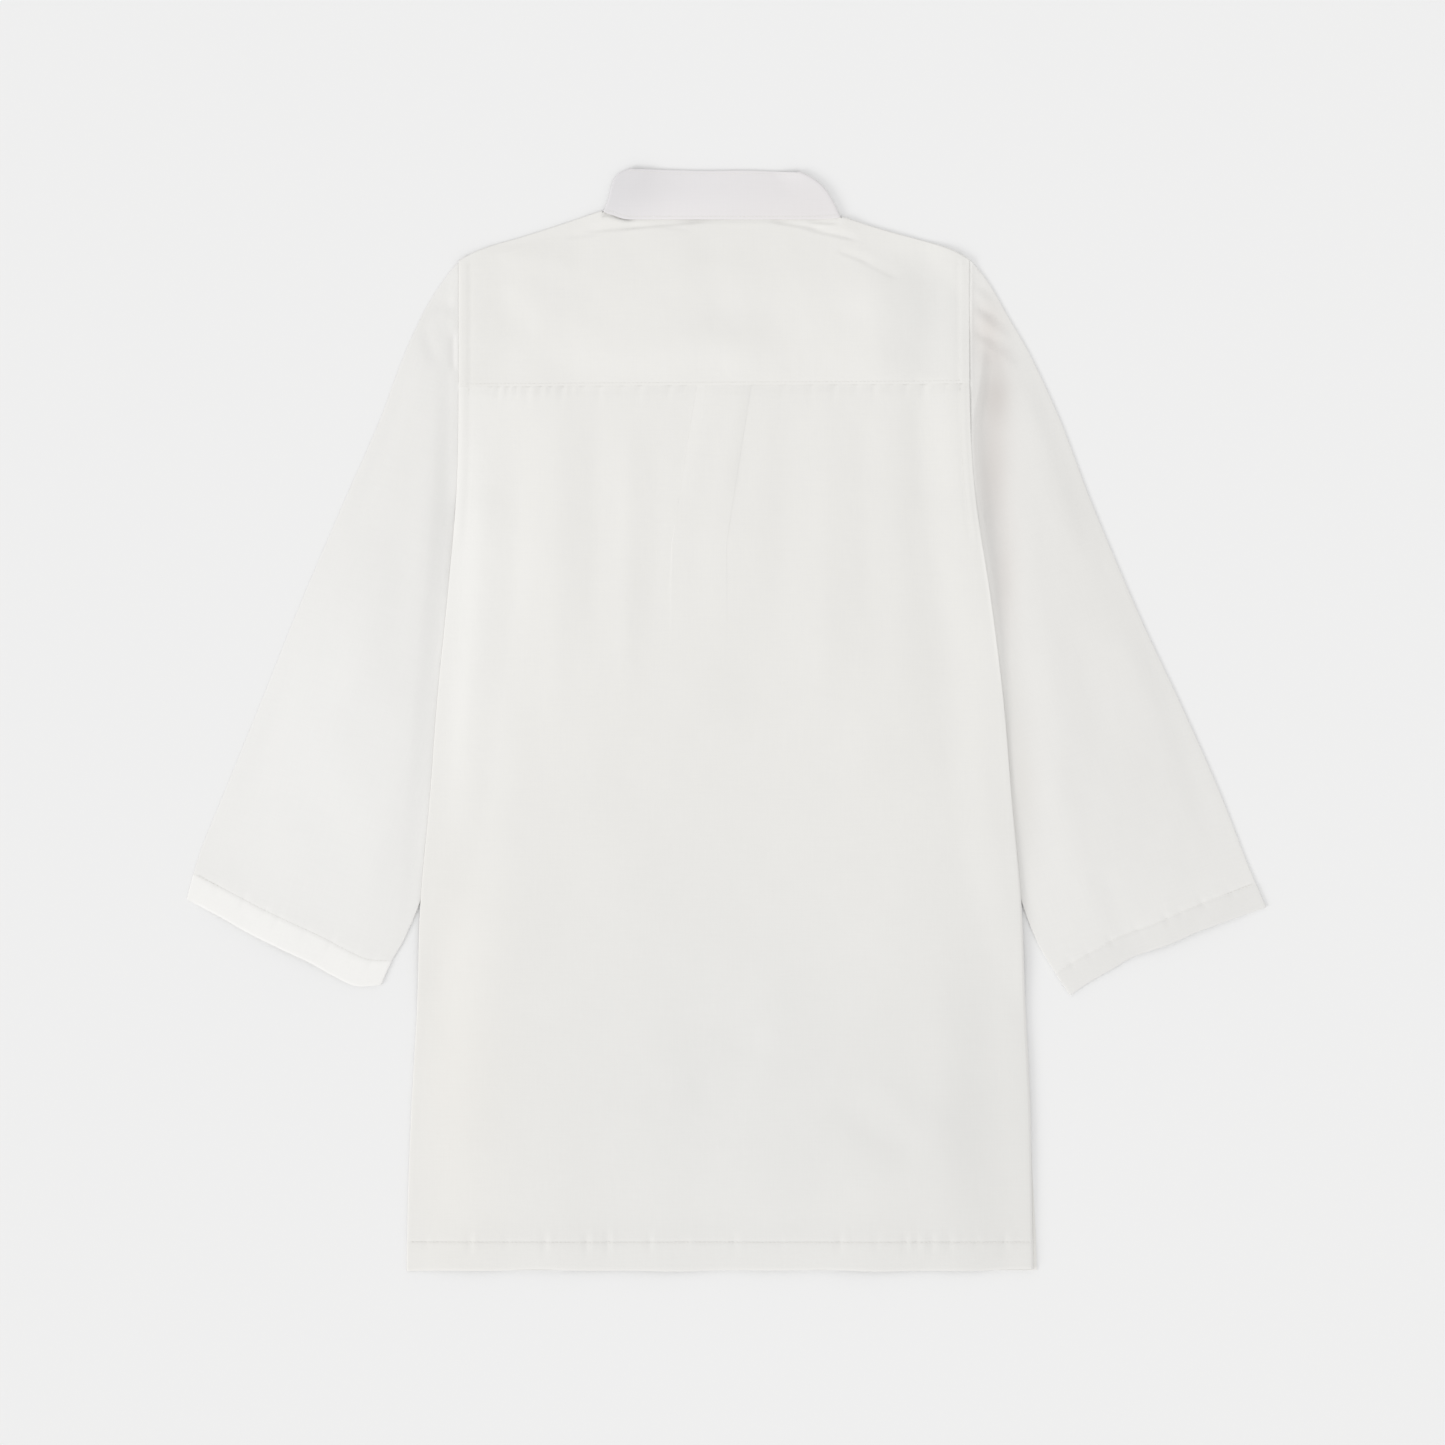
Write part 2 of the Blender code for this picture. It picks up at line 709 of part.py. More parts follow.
def back_neck(x):
    """The yoke's neck edge across the back: level, and up to the shoulders at its ends."""
    left = smooth(1.0 - (x - NECK["left"].x) / BACK_NECK_CORNER)
    right = smooth(1.0 - (NECK["right"].x - x) / BACK_NECK_CORNER)
    return BACK_NECK + (NECK["left"].y - BACK_NECK) * left + (NECK["right"].y - BACK_NECK) * right


def yoke_column(x, kind):
    """One column of the yoke, from its seam upwards."""
    side = "left" if x < 0.0 else "right"
    rough_top = back_neck(x) if kind == "neck" else follow(SHOULDERS[side], "across", "height", x)
    level = back_level(x, rough_top)
    top = back_neck(x) - SEAM
    radius = 0.0
    if kind != "neck":
        top, radius = shoulder_centre(x, level)
    foot = seam_height(x) + SEAM / 2
    column = []
    for share in YOKE_SHARES:
        y = mix(foot, top, share)
        column.append(Vector((x, y, mix(back_level(x, y), level, smooth(share * 2 - 1)))))
    for turn in YOKE_ARC:
        angle = math.radians(turn)
        rise = radius * (1.0 - math.cos(angle))
        column.append(Vector((x, top + radius * math.sin(angle), level - rise)))
    neck = NECK[side].x + OUTWARD[side] * SEAM
    share = (x - armhole(side)) / (neck - armhole(side))
    for drop in YOKE_FRONT_DROPS:
        shift = (neck_drop(side, drop).x - NECK[side].x) * max(min(share, 1.0), 0.0)
        column.append(Vector((x + shift, top - drop, TABLE)))
    return column


def build_back_yoke():
    middle = YOKE_SEAM + 60.0
    left_roll = [x for x, _ in edge_roll("left", middle)]
    right_roll = [x for x, _ in edge_roll("right", middle)][::-1]
    left_drops = [drop for _, drop in edge_roll("left", middle)]
    lap_left = MOUTH["left"] - LAP_MIDDLE
    lap_right = MOUTH["right"] + LAP_MIDDLE
    laps = {"left": left_roll + [lap_left], "right": [lap_right] + right_roll}
    plan = [(x, "lap") for x in laps["left"]]
    plan += [(armhole("left"), "shoulder")]
    plan += [(x, "shoulder") for x in YOKE_COLUMNS["left"]]
    plan += [(NECK["left"].x - SEAM, "shoulder")]
    plan += [(x, "neck") for x in YOKE_COLUMNS["neck"]]
    plan += [(NECK["right"].x + SEAM, "shoulder")]
    plan += [(x, "shoulder") for x in YOKE_COLUMNS["right"]]
    plan += [(armhole("right"), "shoulder")]
    plan += [(x, "lap") for x in laps["right"]]
    columns = [yoke_column(x, kind) for x, kind in plan]
    for k, drop in enumerate(left_drops):
        for point in columns[k] + columns[-1 - k]:
            point.z -= drop
    shares = len(YOKE_SHARES) - 1
    kinds = [kind for _, kind in plan]

    def skip(row, column):
        folded = kinds[column] == kinds[column + 1] == "shoulder"
        return row >= shares and not folded

    grid = [[column[row] for column in columns] for row in range(len(columns[0]))]
    data = wall_mesh("back_yoke", grid, CLOTH / 2, CLOTH / 2, skip=skip)
    return add_piece("back_yoke", data, WHITE_COTTON, COTTON_ROUGHNESS)


# The front panel, with its slot for the neck opening

FRONT_ROWS = [0, 21, 23, 70, 140, 200, 240, 270, 292, 320, 376, 440, 484, SLOT_FOOT, 560, 598.5, 601.5,
              617, 640]
FRONT_TOP_SHARES = [0.35, 0.7, 1.0]
FRONT_OFFSETS = [0.0, 5.0, 10.0, 14.0, 18.0, 22.0, 27.0, 34.0, 58.0, 88.0]
FRONT_NECK_SHARES = [0.0, 0.3, 0.65, 1.0]


def front_corner(side):
    """The x where the yoke's front seam meets the neckline."""
    return neck_drop(side, YOKE_FRONT).x + OUTWARD[side] * SEAM


def front_top(x):
    """The top edge of the front: the yoke's front seam, then the neckline."""
    side = "left" if x < FRONT_CENTRE else "right"
    outward = OUTWARD[side]
    corner = front_corner(side)
    if outward * x >= outward * corner:
        share = (x - armhole(side)) / (corner - armhole(side))
        neck = NECK[side].x + outward * SEAM
        across = mix(armhole(side), neck, min(max(share, 0.0), 1.0))
        level = back_level(across, follow(SHOULDERS[side], "across", "height", across))
        return shoulder_centre(across, level)[0] - YOKE_FRONT - YOKE_FRONT_GAP
    share = neck_share(side, 0, x)
    ahead = ahead_on_neck(side, share)
    return bezier(front_neck(side), share).y - SEAM * ahead.length / max(abs(ahead.x), 1 / FAR)


def front_columns():
    """The x of each column, measured at the armholes."""
    columns = {}
    for side in SIDES:
        places = [armhole(side) - OUTWARD[side] * offset for offset in FRONT_OFFSETS]
        corner = front_corner(side)
        places += [mix(corner, slot_edge(side), share) for share in FRONT_NECK_SHARES]
        columns[side] = places
    return columns["left"], columns["right"][::-1]


def build_front_panel():
    left, right = front_columns()
    places = left + right

    def along(x, height):
        side = "left" if x < FRONT_CENTRE else "right"
        slot = slot_edge(side)
        edge = armhole(side) if height > UNDERARM else body_edge(side, height)
        if side == "right":
            edge += FRONT_PEEK * (1.0 - smooth(height / FRONT_PEEK_HEIGHT))
        return slot + (x - slot) * (edge - slot) / (armhole(side) - slot)

    grid = []
    for height in FRONT_ROWS:
        row = []
        for x in places:
            across = along(x, height)
            row.append(Vector((across, height, front_level(across, height))))
        grid.append(row)
    for share in FRONT_TOP_SHARES:
        row = []
        for x in places:
            y = mix(FRONT_ROWS[-1], front_top(x), share)
            row.append(Vector((x, y, front_level(x, y))))
        grid.append(row)
    slot_row = FRONT_ROWS.index(SLOT_FOOT)
    slot_column = len(left) - 1

    def skip(row, column):
        return column == slot_column and row >= slot_row

    def inner(row, column):
        return CLOTH / 2 + (HEM_EXTRA if row <= 1 else 0.0)

    upside = [row[::-1] for row in grid]

    def skip_upside(row, column):
        return skip(row, len(places) - 2 - column)

    data = wall_mesh("front_panel", upside, CLOTH / 2, inner, skip=skip_upside)
    return add_piece("front_panel", data, WHITE_COTTON, COTTON_ROUGHNESS)


# The sleeves

SLEEVE_SHARES = [0.0, 0.02, 0.045, 0.07, 0.095, 0.12, 0.15, 0.18, 0.22, 0.28, 0.36, 0.45, 0.55, 0.66, 0.76,
                 0.86, 0.93, 0.958, 0.964, 1.0]
LOW_STEPS = 6
HIGH_STEPS = 14
SLEEVE_TURNS = [45.0, 90.0, 135.0]


def crease_rise(side, x, y):
    """The soft ridges and troughs in a sleeve's upper layer."""
    rise = 0.0
    for crease in CREASES[side]:
        start = Vector((crease.start_x, crease.start_y))
        end = Vector((crease.end_x, crease.end_y))
        away = distance_to_line(Vector((x, y)), start, end)
        rise += crease.rise * math.exp(-((away / crease.width) ** 2))
    return rise


def sleeve_rise(side, share, across, x, y):
    """How far the upper layer stands above its pressed folds."""
    crown = follow(SLEEVES[side], "share", "crown", share)
    bell = math.sin(math.pi * across) ** CROWN_ROUNDNESS
    beside = OUTWARD[side] * (x - body_edge(side, y))
    clear = smooth((beside - CROWN_START) / CROWN_RUN)
    return (crown * bell + crease_rise(side, x, y) * smooth(bell * CREASE_REACH)) * clear


def sleeve_fold(side, share, edge):
    """A fold's line inside its outline, and the way its cloth bulges, square to the fold."""
    point = sleeve_point(side, share, edge)
    next_point = sleeve_point(side, min(share + NEAR_SHARE, 1.0), edge)
    last_point = sleeve_point(side, max(share - NEAR_SHARE, 0.0), edge)
    ahead = next_point - last_point
    bulge = Vector((ahead.y, -ahead.x)).normalized()
    wanted = OUTWARD[side] if edge == "outer" else -OUTWARD[side]
    if bulge.x * wanted < 0.0:
        bulge = -bulge
    return point - bulge * (SLEEVE_FOLD + CLOTH / 2), bulge


def sleeve_ring(side, share):
    """One ring round the sleeve: lower layer, underarm fold, upper layer and outer fold."""
    outer, outer_bulge = sleeve_fold(side, share, "outer")
    inner, inner_bulge = sleeve_fold(side, share, "inner")
    down = Vector((inner.y - outer.y, outer.x - inner.x)).normalized() * -OUTWARD[side]
    bow_share = smooth((share - 1.0 + CUFF_BOW_SHARE) / CUFF_BOW_SHARE)
    ring = []

    def place(point, z):
        ring.append(Vector((point.x, point.y, z)))

    def on_layer(part):
        return outer.lerp(inner, part) + down * follow(CUFF_BOWS, "across", side, part) * bow_share

    for k in range(LOW_STEPS + 1):
        place(on_layer(k / LOW_STEPS), TABLE)
    for turn in SLEEVE_TURNS:
        angle = math.radians(turn)
        place(inner + inner_bulge * SLEEVE_FOLD * math.sin(angle),
              TABLE + SLEEVE_FOLD * (1.0 - math.cos(angle)))
    for k in range(HIGH_STEPS + 1):
        part = 1.0 - k / HIGH_STEPS
        point = on_layer(part)
        rise = max(sleeve_rise(side, share, part, point.x, point.y), 0.0)
        place(point, TABLE + 2 * SLEEVE_FOLD + rise)
    for turn in SLEEVE_TURNS:
        angle = math.radians(turn)
        place(outer + outer_bulge * SLEEVE_FOLD * math.sin(angle),
              TABLE + SLEEVE_FOLD * (1.0 + math.cos(angle)))
    return ring


def build_sleeve(side):
    rings = [sleeve_ring(side, share) for share in SLEEVE_SHARES]
    hem_row = len(SLEEVE_SHARES) - 2
    fold_start = LOW_STEPS + 1
    fold_end = fold_start + len(SLEEVE_TURNS)
    last_flat = fold_end + HIGH_STEPS

    def hem(row, column):
        in_fold = column in (0, LOW_STEPS) or fold_start <= column <= fold_end or column >= last_flat
        return HEM_EXTRA if row >= hem_row and not in_fold else 0.0

    def inner(row, column):
        return CLOTH / 2 + hem(row, column)

    count = len(rings[0])
    if side == "right":
        flipped = [ring[::-1] for ring in rings]
        data = wall_mesh("sleeve_right", flipped, CLOTH / 2,
                         lambda row, column: inner(row, count - 1 - column), loop=True)
    else:
        data = wall_mesh("sleeve_left", rings, CLOTH / 2, inner, loop=True)
    return add_piece("sleeve_" + side, data, WHITE_COTTON, COTTON_ROUGHNESS)


# The collar band, folded flat at both sides of the neck

COLLAR_FRONT_STEPS = 8
COLLAR_BACK_STEPS = 14
COLLAR_TURNS = [30.0, 60.0, 90.0, 120.0, 150.0]
COLLAR_SHARES = [0.0, 0.25, 0.5, 0.7, 0.86, 1.0]

# One line up the band: its foot and top, its level, and how much of each end's bow it has
CollarLine = namedtuple("CollarLine", "foot top level side bow")


def collar_bow(away):
    """How much of the fold's bow is left some way along the band."""
    return 1.0 - smooth(away / COLLAR_BOW_RUN)


def collar_front(side):
    """The lines of the band's front, from the fold at its side to the front centre."""
    outward = OUTWARD[side]
    fold = COLLAR_FOLDS[side]
    slant = Vector((fold.top_x, fold.top_y)) - NECK[side]
    inset = (COLLAR_BACK_LEVEL - COLLAR_FRONT_LEVEL + COLLAR) / 2
    lines = []
    walked = 0.0
    for k in range(COLLAR_FRONT_STEPS + 1):
        share = k / COLLAR_FRONT_STEPS
        ahead = ahead_on_neck(side, share)
        square = Vector((-ahead.y, ahead.x)).normalized() * -outward
        turned = smooth(share / COLLAR_TURN_SHARE)
        lean = slant.normalized().lerp(square, turned).normalized()
        foot = bezier(front_neck(side), share) + lean * SEAM
        foot.x -= outward * inset * (1.0 - share)
        if lines:
            walked += (foot - lines[-1].foot).length
        top = foot + lean * mix(slant.length, COLLAR_HEIGHT, turned)
        lines.append(CollarLine(foot, top, COLLAR_FRONT_LEVEL, side, collar_bow(walked)))
    return lines


def collar_fold(near):
    """The lines round a fold of the band, from its front up to its back."""
    radius = (COLLAR_BACK_LEVEL - COLLAR_FRONT_LEVEL) / 2
    lean = (near.top - near.foot).normalized()
    away = Vector((lean.y, -lean.x)) * OUTWARD[near.side]
    lines = []
    for turn in COLLAR_TURNS:
        angle = math.radians(turn)
        push = away * radius * math.sin(angle)
        level = COLLAR_FRONT_LEVEL + radius * (1.0 - math.cos(angle))
        lines.append(CollarLine(near.foot + push, near.top + push, level, near.side, 1.0))
    return lines


def collar_back(left, right):
    """The lines of the band's back, from its left fold to its right fold."""
    lines = [CollarLine(left.foot, left.top, COLLAR_BACK_LEVEL, "left", 1.0)]
    width = right.foot.x - left.foot.x
    for k in range(1, COLLAR_BACK_STEPS):
        share = k / COLLAR_BACK_STEPS
        side = "left" if share < 0.5 else "right"
        foot_x = mix(left.foot.x, right.foot.x, share)
        top_x = mix(left.top.x, right.top.x, share)
        foot = Vector((foot_x, back_neck(foot_x)))
        top = Vector((top_x, follow(COLLAR_TOP, "across", "height", top_x)))
        bow = collar_bow(min(share, 1.0 - share) * width)
        lines.append(CollarLine(foot, top, COLLAR_BACK_LEVEL, side, bow))
    lines.append(CollarLine(right.foot, right.top, COLLAR_BACK_LEVEL, "right", 1.0))
    return lines


def collar_point(line, share):
    """A point up a line of the band, bowed out where the line is near a fold."""
    fold = COLLAR_FOLDS[line.side]
    lean = (line.top - line.foot).normalized()
    away = Vector((lean.y, -lean.x)) * OUTWARD[line.side]
    bow = fold.bow * line.bow * math.sin(math.pi * share**fold.lean)
    point = line.foot.lerp(line.top, share) + away * bow
    return Vector((point.x, point.y, line.level))


def build_collar_band():
    left = collar_front("left")
    right = collar_front("right")
    lines = left[::-1] + collar_fold(left[0])
    lines += collar_back(left[0], right[0])
    lines += collar_fold(right[0])[::-1] + right
    grid = [[collar_point(line, share) for line in lines] for share in COLLAR_SHARES]
    data = wall_mesh("collar_band", grid, COLLAR / 2, COLLAR / 2)
    return add_piece("collar_band", data, COLLAR_COTTON, COTTON_ROUGHNESS)


# The neck opening and its buttons

PLACKET_COLUMNS = [-PLACKET_WIDTH / 2, -10.5, -6.3, 6.3, 10.5, PLACKET_WIDTH / 2]
BUMP_ROWS = [-13.4, -10.5, -6.3, 6.3, 10.5, 13.4]


def bump_level(x, y):
    """The strips lift over each button."""
    level = 0.0
    for place in BUTTON_PLACES:
        away = math.hypot(x - FRONT_CENTRE, y - place)
        level = max(level, BUTTON_BUMP * slope_down(STRIP_OFF_BUTTON, away))
    return level


def build_placket(name, level):
    foot = SLOT_FOOT + SEAM
    heights = [foot, mix(foot, BUTTON_PLACES[-1] + BUMP_ROWS[0], 0.5)]
    for place in sorted(BUTTON_PLACES):
        heights += [place + row for row in BUMP_ROWS]
    heights.append(FRONT_NECK)
    grid = []
    for y in heights:
        row = []
        for column in PLACKET_COLUMNS:
            x = FRONT_CENTRE + column
            row.append(Vector((x, y, level + bump_level(x, y))))
        grid.append(row)
    data = wall_mesh(name, grid, CLOTH / 2, CLOTH / 2)
    return add_piece(name, data, WHITE_COTTON, COTTON_ROUGHNESS)


def build_button(number, place):
    """A four-hole button with a raised rim, its face to the table."""
    edge = BUTTON_RADIUS - BUTTON_BEVEL
    profile = [
        (0.0, BUTTON_THICK),
        (edge, BUTTON_THICK),
        (BUTTON_RADIUS, BUTTON_THICK - BUTTON_BEVEL),
        (BUTTON_RADIUS, BUTTON_BEVEL),
        (edge, 0.0),
        (edge - BUTTON_RIM, 0.0),
        (edge - BUTTON_RIM - BUTTON_DISH, BUTTON_DISH),
        (0.0, BUTTON_DISH),
    ]
    mesh = bmesh.new()
    chain = [mesh.verts.new((radius * METRE, 0.0, (z + BUTTON_LIFT) * METRE)) for radius, z in profile]
    edges = [mesh.edges.new(pair) for pair in zip(chain, chain[1:])]
    bmesh.ops.spin(mesh, geom=chain + edges, cent=(0, 0, 0), axis=(0, 0, 1), angle=math.tau,
                   steps=BUTTON_STEPS, use_duplicate=False)
    bmesh.ops.remove_doubles(mesh, verts=mesh.verts, dist=METRE / 100)
    bmesh.ops.recalc_face_normals(mesh, faces=mesh.faces)
    data = bpy.data.meshes.new("button_%d" % number)
    mesh.to_mesh(data)
    mesh.free()
    piece = add_piece("button_%d" % number, data, BUTTON_WHITE, BUTTON_ROUGHNESS)
    piece.location = Vector((FRONT_CENTRE, place, 0.0)) * METRE
    for k in range(BUTTON_HOLES):
        turn = math.tau * (k + 0.5) / BUTTON_HOLES
        cutter = add_cutter(k, number)
        offset = Vector((math.cos(turn), math.sin(turn), 0.0)) * BUTTON_HOLE_PLACE
        cutter.location = (Vector((FRONT_CENTRE, place, BUTTON_THICK / 2)) + offset) * METRE
        cut = piece.modifiers.new("hole_%d" % k, "BOOLEAN")
        cut.operation = "DIFFERENCE"
        cut.object = cutter
    return piece


def add_cutter(k, number):
    """The drill for one hole of a button."""
    mesh = bmesh.new()
    radius = BUTTON_HOLE_RADIUS * METRE
    bmesh.ops.create_cone(mesh, cap_ends=True, segments=BUTTON_HOLE_SIDES, radius1=radius,
                          radius2=radius, depth=4 * BUTTON_THICK * METRE)
    name = "drill_%d_%d" % (number, k)
    data = bpy.data.meshes.new(name)
    mesh.to_mesh(data)
    mesh.free()
    cutter = bpy.data.objects.new(name, data)
    bpy.context.scene.collection.objects.link(cutter)
    cutter.hide_render = True
    cutter.display_type = "WIRE"
    return cutter


# The whole shirt

def centre_on_origin(objects):
    """Put the origin at the bottom centre of the shirt's box."""
    corners = [piece.matrix_world @ Vector(corner) for piece in objects for corner in piece.bound_box]
    low = Vector([min(corner[axis] for corner in corners) for axis in range(3)])
    high = Vector([max(corner[axis] for corner in corners) for axis in range(3)])
    shift = Vector(((low.x + high.x) / 2, (low.y + high.y) / 2, low.z))
    for piece in bpy.context.scene.objects:
        piece.location -= shift


def main():
    for piece in list(bpy.data.objects):
        bpy.data.objects.remove(piece)
    pieces = [build_back_panel(), build_back_yoke(), build_front_panel()]
    pieces += [build_sleeve(side) for side in SIDES]
    pieces.append(build_collar_band())
    pieces.append(build_placket("placket_outer", TABLE))
    pieces.append(build_placket("placket_under", TABLE + CLOTH + LAYER_GAP))
    for number, place in enumerate(BUTTON_PLACES, start=1):
        pieces.append(build_button(number, place))
    bpy.context.view_layer.update()
    centre_on_origin(pieces)


main()
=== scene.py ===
"""The finished look of a kameez that lies flat on its front, seen from straight above.

The cloth is worked out in millimetres, in the shirt's own plan: X runs across from the centre
line to the wearer's right, Y runs up from the back hem, and Z rises from the table. Only the
last step of each piece turns millimetres into the frame's metres.
"""
import math
from collections import namedtuple
from functools import partial

import bpy
import numpy as np
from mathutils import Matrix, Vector


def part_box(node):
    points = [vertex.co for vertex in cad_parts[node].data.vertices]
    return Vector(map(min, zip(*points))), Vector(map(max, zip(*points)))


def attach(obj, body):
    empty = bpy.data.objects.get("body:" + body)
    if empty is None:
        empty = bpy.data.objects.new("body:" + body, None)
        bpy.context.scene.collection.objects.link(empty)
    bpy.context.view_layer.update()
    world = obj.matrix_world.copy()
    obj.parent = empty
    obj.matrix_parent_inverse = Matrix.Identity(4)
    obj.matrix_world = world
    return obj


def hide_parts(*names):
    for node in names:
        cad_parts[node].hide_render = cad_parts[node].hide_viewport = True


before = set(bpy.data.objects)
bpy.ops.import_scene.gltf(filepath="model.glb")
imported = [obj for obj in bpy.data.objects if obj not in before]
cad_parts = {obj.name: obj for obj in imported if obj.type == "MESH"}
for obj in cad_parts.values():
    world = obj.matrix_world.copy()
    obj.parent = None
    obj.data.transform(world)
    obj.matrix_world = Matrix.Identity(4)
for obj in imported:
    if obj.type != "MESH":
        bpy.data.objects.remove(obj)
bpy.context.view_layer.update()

METRE = 0.001
FAR = 1e6

SIDES = ("left", "right")
OUTWARD = {"left": -1.0, "right": 1.0}

# A soft step: where it starts, and the length or share over which it runs
Ramp = namedtuple("Ramp", "start run")
# A narrow groove, or a ridge where it is added
Groove = namedtuple("Groove", "depth width")


def rows(kind, table):
    """A table of plain numbers, with the names that its kind gives to the columns."""
    return [kind(*row) for row in table]


# The cloth, and how its layers lie on each other
CLOTH = 0.35
HEM_CLOTH = 0.7
CUFF_CLOTH = 0.6
TABLE = CLOTH / 2
SLEEVE_FOLD = 0.6
OUTER_FOLD = 0.24
CUFF_FOLD = 0.36
OUTER_FOLD_RUN = 34.0
LAYERS_APART = 0.06
LAYERS_ROUNDING = 0.004
LAYER_GAP = 0.25
SEAM = 0.35
SLEEVE_TOP = TABLE + 2 * SLEEVE_FOLD + CLOTH / 2
FRONT_LIFT = SLEEVE_TOP + LAYER_GAP
ARMHOLE_LIFT = SLEEVE_TOP - LAYER_GAP
LOOSE_ROOM = 2.9
LOOSE_RUN = 70.0
MOST_TURN = math.radians(48.0)

# Heights up the shirt
YOKE_SEAM = 707.6
YOKE_SEAM_TILT = 0.006
YOKE_ARMHOLE = YOKE_SEAM + 60.0
UNDERARM = 600.0
HEM = 22.6
CUFF_HEM = 21.0

# The mouth of each sleeve lies this far inside the body's edge, under it
MOUTH = {"left": -202.4, "right": 189.6}
MOUTH_GAP = 0.5

# The body's two side edges, from the hem to the yoke seam
Edge = namedtuple("Edge", "height left right")
BODY_EDGES = rows(Edge, [
    (0, -252, 248.8), (56, -251.2, 248), (136, -248, 246.4), (216, -243.6, 242.4),
    (292, -241.2, 239.4), (376, -233.6, 231.8), (456, -227.6, 225), (536, -219.6, 214.8),
    (616, -212.6, 202.4), (680, -210.8, 198), (812, -210.4, 197.6),
])

# The room between front and back at the body's two side edges
Room = namedtuple("Room", "height left right")
EDGE_ROOMS = rows(Room, [
    (0, 1, 2.3), (120, 0.9, 3), (260, 0.85, 2.5), (380, 0.8, 0.9), (480, 0.75, 0.75),
    (812, 0.75, 0.75),
])

# How far the body's edge rolls down, and where the roll of the side seam ends
ARMHOLE_ROLL = 0.35
SIDE_ROLL_SHARE = 0.85
SIDE_ROLL_END = Ramp(500.0, 80.0)
ROLL_STEPS = 6

# The outline of the shoulders, seen from above, and where the cloth is pressed flat on them
Outline = namedtuple("Outline", "across height")
SHOULDERS = {
    "left": rows(Outline, [
        (-212, 806.4), (-201.6, 812.4), (-193.6, 816), (-177.6, 821.4), (-161.6, 825.8),
        (-129.6, 836), (-97, 847),
    ]),
    "right": rows(Outline, [
        (97, 842.4), (126.4, 832.8), (158.4, 824), (178.4, 818.2), (189, 813.6), (199, 807.4),
    ]),
}
SHOULDER_PRESS = 0.6
SHOULDER_ACROSS = Ramp(88.0, 30.0)
SHOULDER_INSIDE = Ramp(10.0, 25.0)
SHOULDER_BELOW = Ramp(0.0, 45.0)

# The sleeves: a row for each section, from the mouth at share 0 to the cuff at share 1.
# Outer is the fold that carries on from the shoulder, inner is the fold from the underarm.
# Crown is how far the upper layer stands up between the two folds.
Section = namedtuple("Section", "share outer_x outer_y inner_x inner_y crown")
SLEEVES = {
    "left": rows(Section, [
        (0, -204.4, 810.6, -202.4, 600, 0),
        (0.04, -213.6, 803.2, -203.6, 580, 0.3),
        (0.09, -228, 784, -205, 560, 0.9),
        (0.14, -240.8, 761.6, -207, 536, 1.6),
        (0.2, -256, 727.2, -210.4, 504, 2.2),
        (0.28, -273.6, 680, -215.2, 464, 2.6),
        (0.4, -301.6, 616, -220.8, 416, 2.8),
        (0.54, -337.6, 532, -228, 360, 2.8),
        (0.68, -368, 456, -238.4, 304, 2.6),
        (0.82, -397.6, 383.2, -253.6, 265.6, 2.2),
        (0.92, -417.6, 333.6, -264.8, 246, 1.7),
        (1, -428, 296.8, -272.8, 228, 1.2),
    ]),
    "right": rows(Section, [
        (0, 191.6, 812.2, 189.6, 600, 0),
        (0.04, 200, 806.4, 192.4, 580, 0.3),
        (0.09, 214.4, 788, 196.8, 560, 0.9),
        (0.14, 228, 764, 202.4, 536, 1.6),
        (0.2, 246.4, 732, 208, 504, 2.2),
        (0.28, 270.4, 680, 212.8, 464, 2.6),
        (0.4, 296, 612.8, 218.4, 416, 2.8),
        (0.54, 334.4, 522.4, 226.4, 360, 2.8),
        (0.68, 368.8, 448.8, 236.8, 304, 2.6),
        (0.82, 398.4, 381.6, 251.2, 264, 2.2),
        (0.92, 420.8, 324, 264, 241.6, 1.7),
        (1, 435.2, 290.4, 278.4, 220, 1.2),
    ]),
}

# How far each cuff's edge bows out from a straight line, across from its outer fold
Bow = namedtuple("Bow", "across left right")
CUFF_BOWS = rows(Bow, [
    (0, 0, 0), (0.2, 2.6, -3), (0.35, 5, -4.6), (0.5, 6, -4.8), (0.66, 6.6, -7.4),
    (0.78, 8.6, -5.2), (0.9, 8.6, -3.2), (1, 0, 0),
])
CUFF_BOW_FADE = Ramp(0.0, 66.0)

# How front and back rise over the sleeves, away from them
FRONT_OVER_SLEEVE = Ramp(5.0, 14.0)
BACK_OVER_SLEEVE = Ramp(8.0, 34.0)
BACK_OVER_MOUTH = Ramp(4.0, 30.0)

# How far the body's right edge is held up, in front and back, by the sleeve bunched under it
Lift = namedtuple("Lift", "height front back")
RIGHT_LIFTS = rows(Lift, [
    (380, 0, 0), (440, 0.4, 0.6), (480, 1.1, 1.5), (560, 3.8, 5), (600, 4.6, 6.2), (640, 1.6, 6.8),
    (690, 0, 6), (724, 0, 3.2), (752, 0, 0.5), (766, 0, 0),
])
RIGHT_LIFT_INSIDE = Ramp(3.0, 42.0)

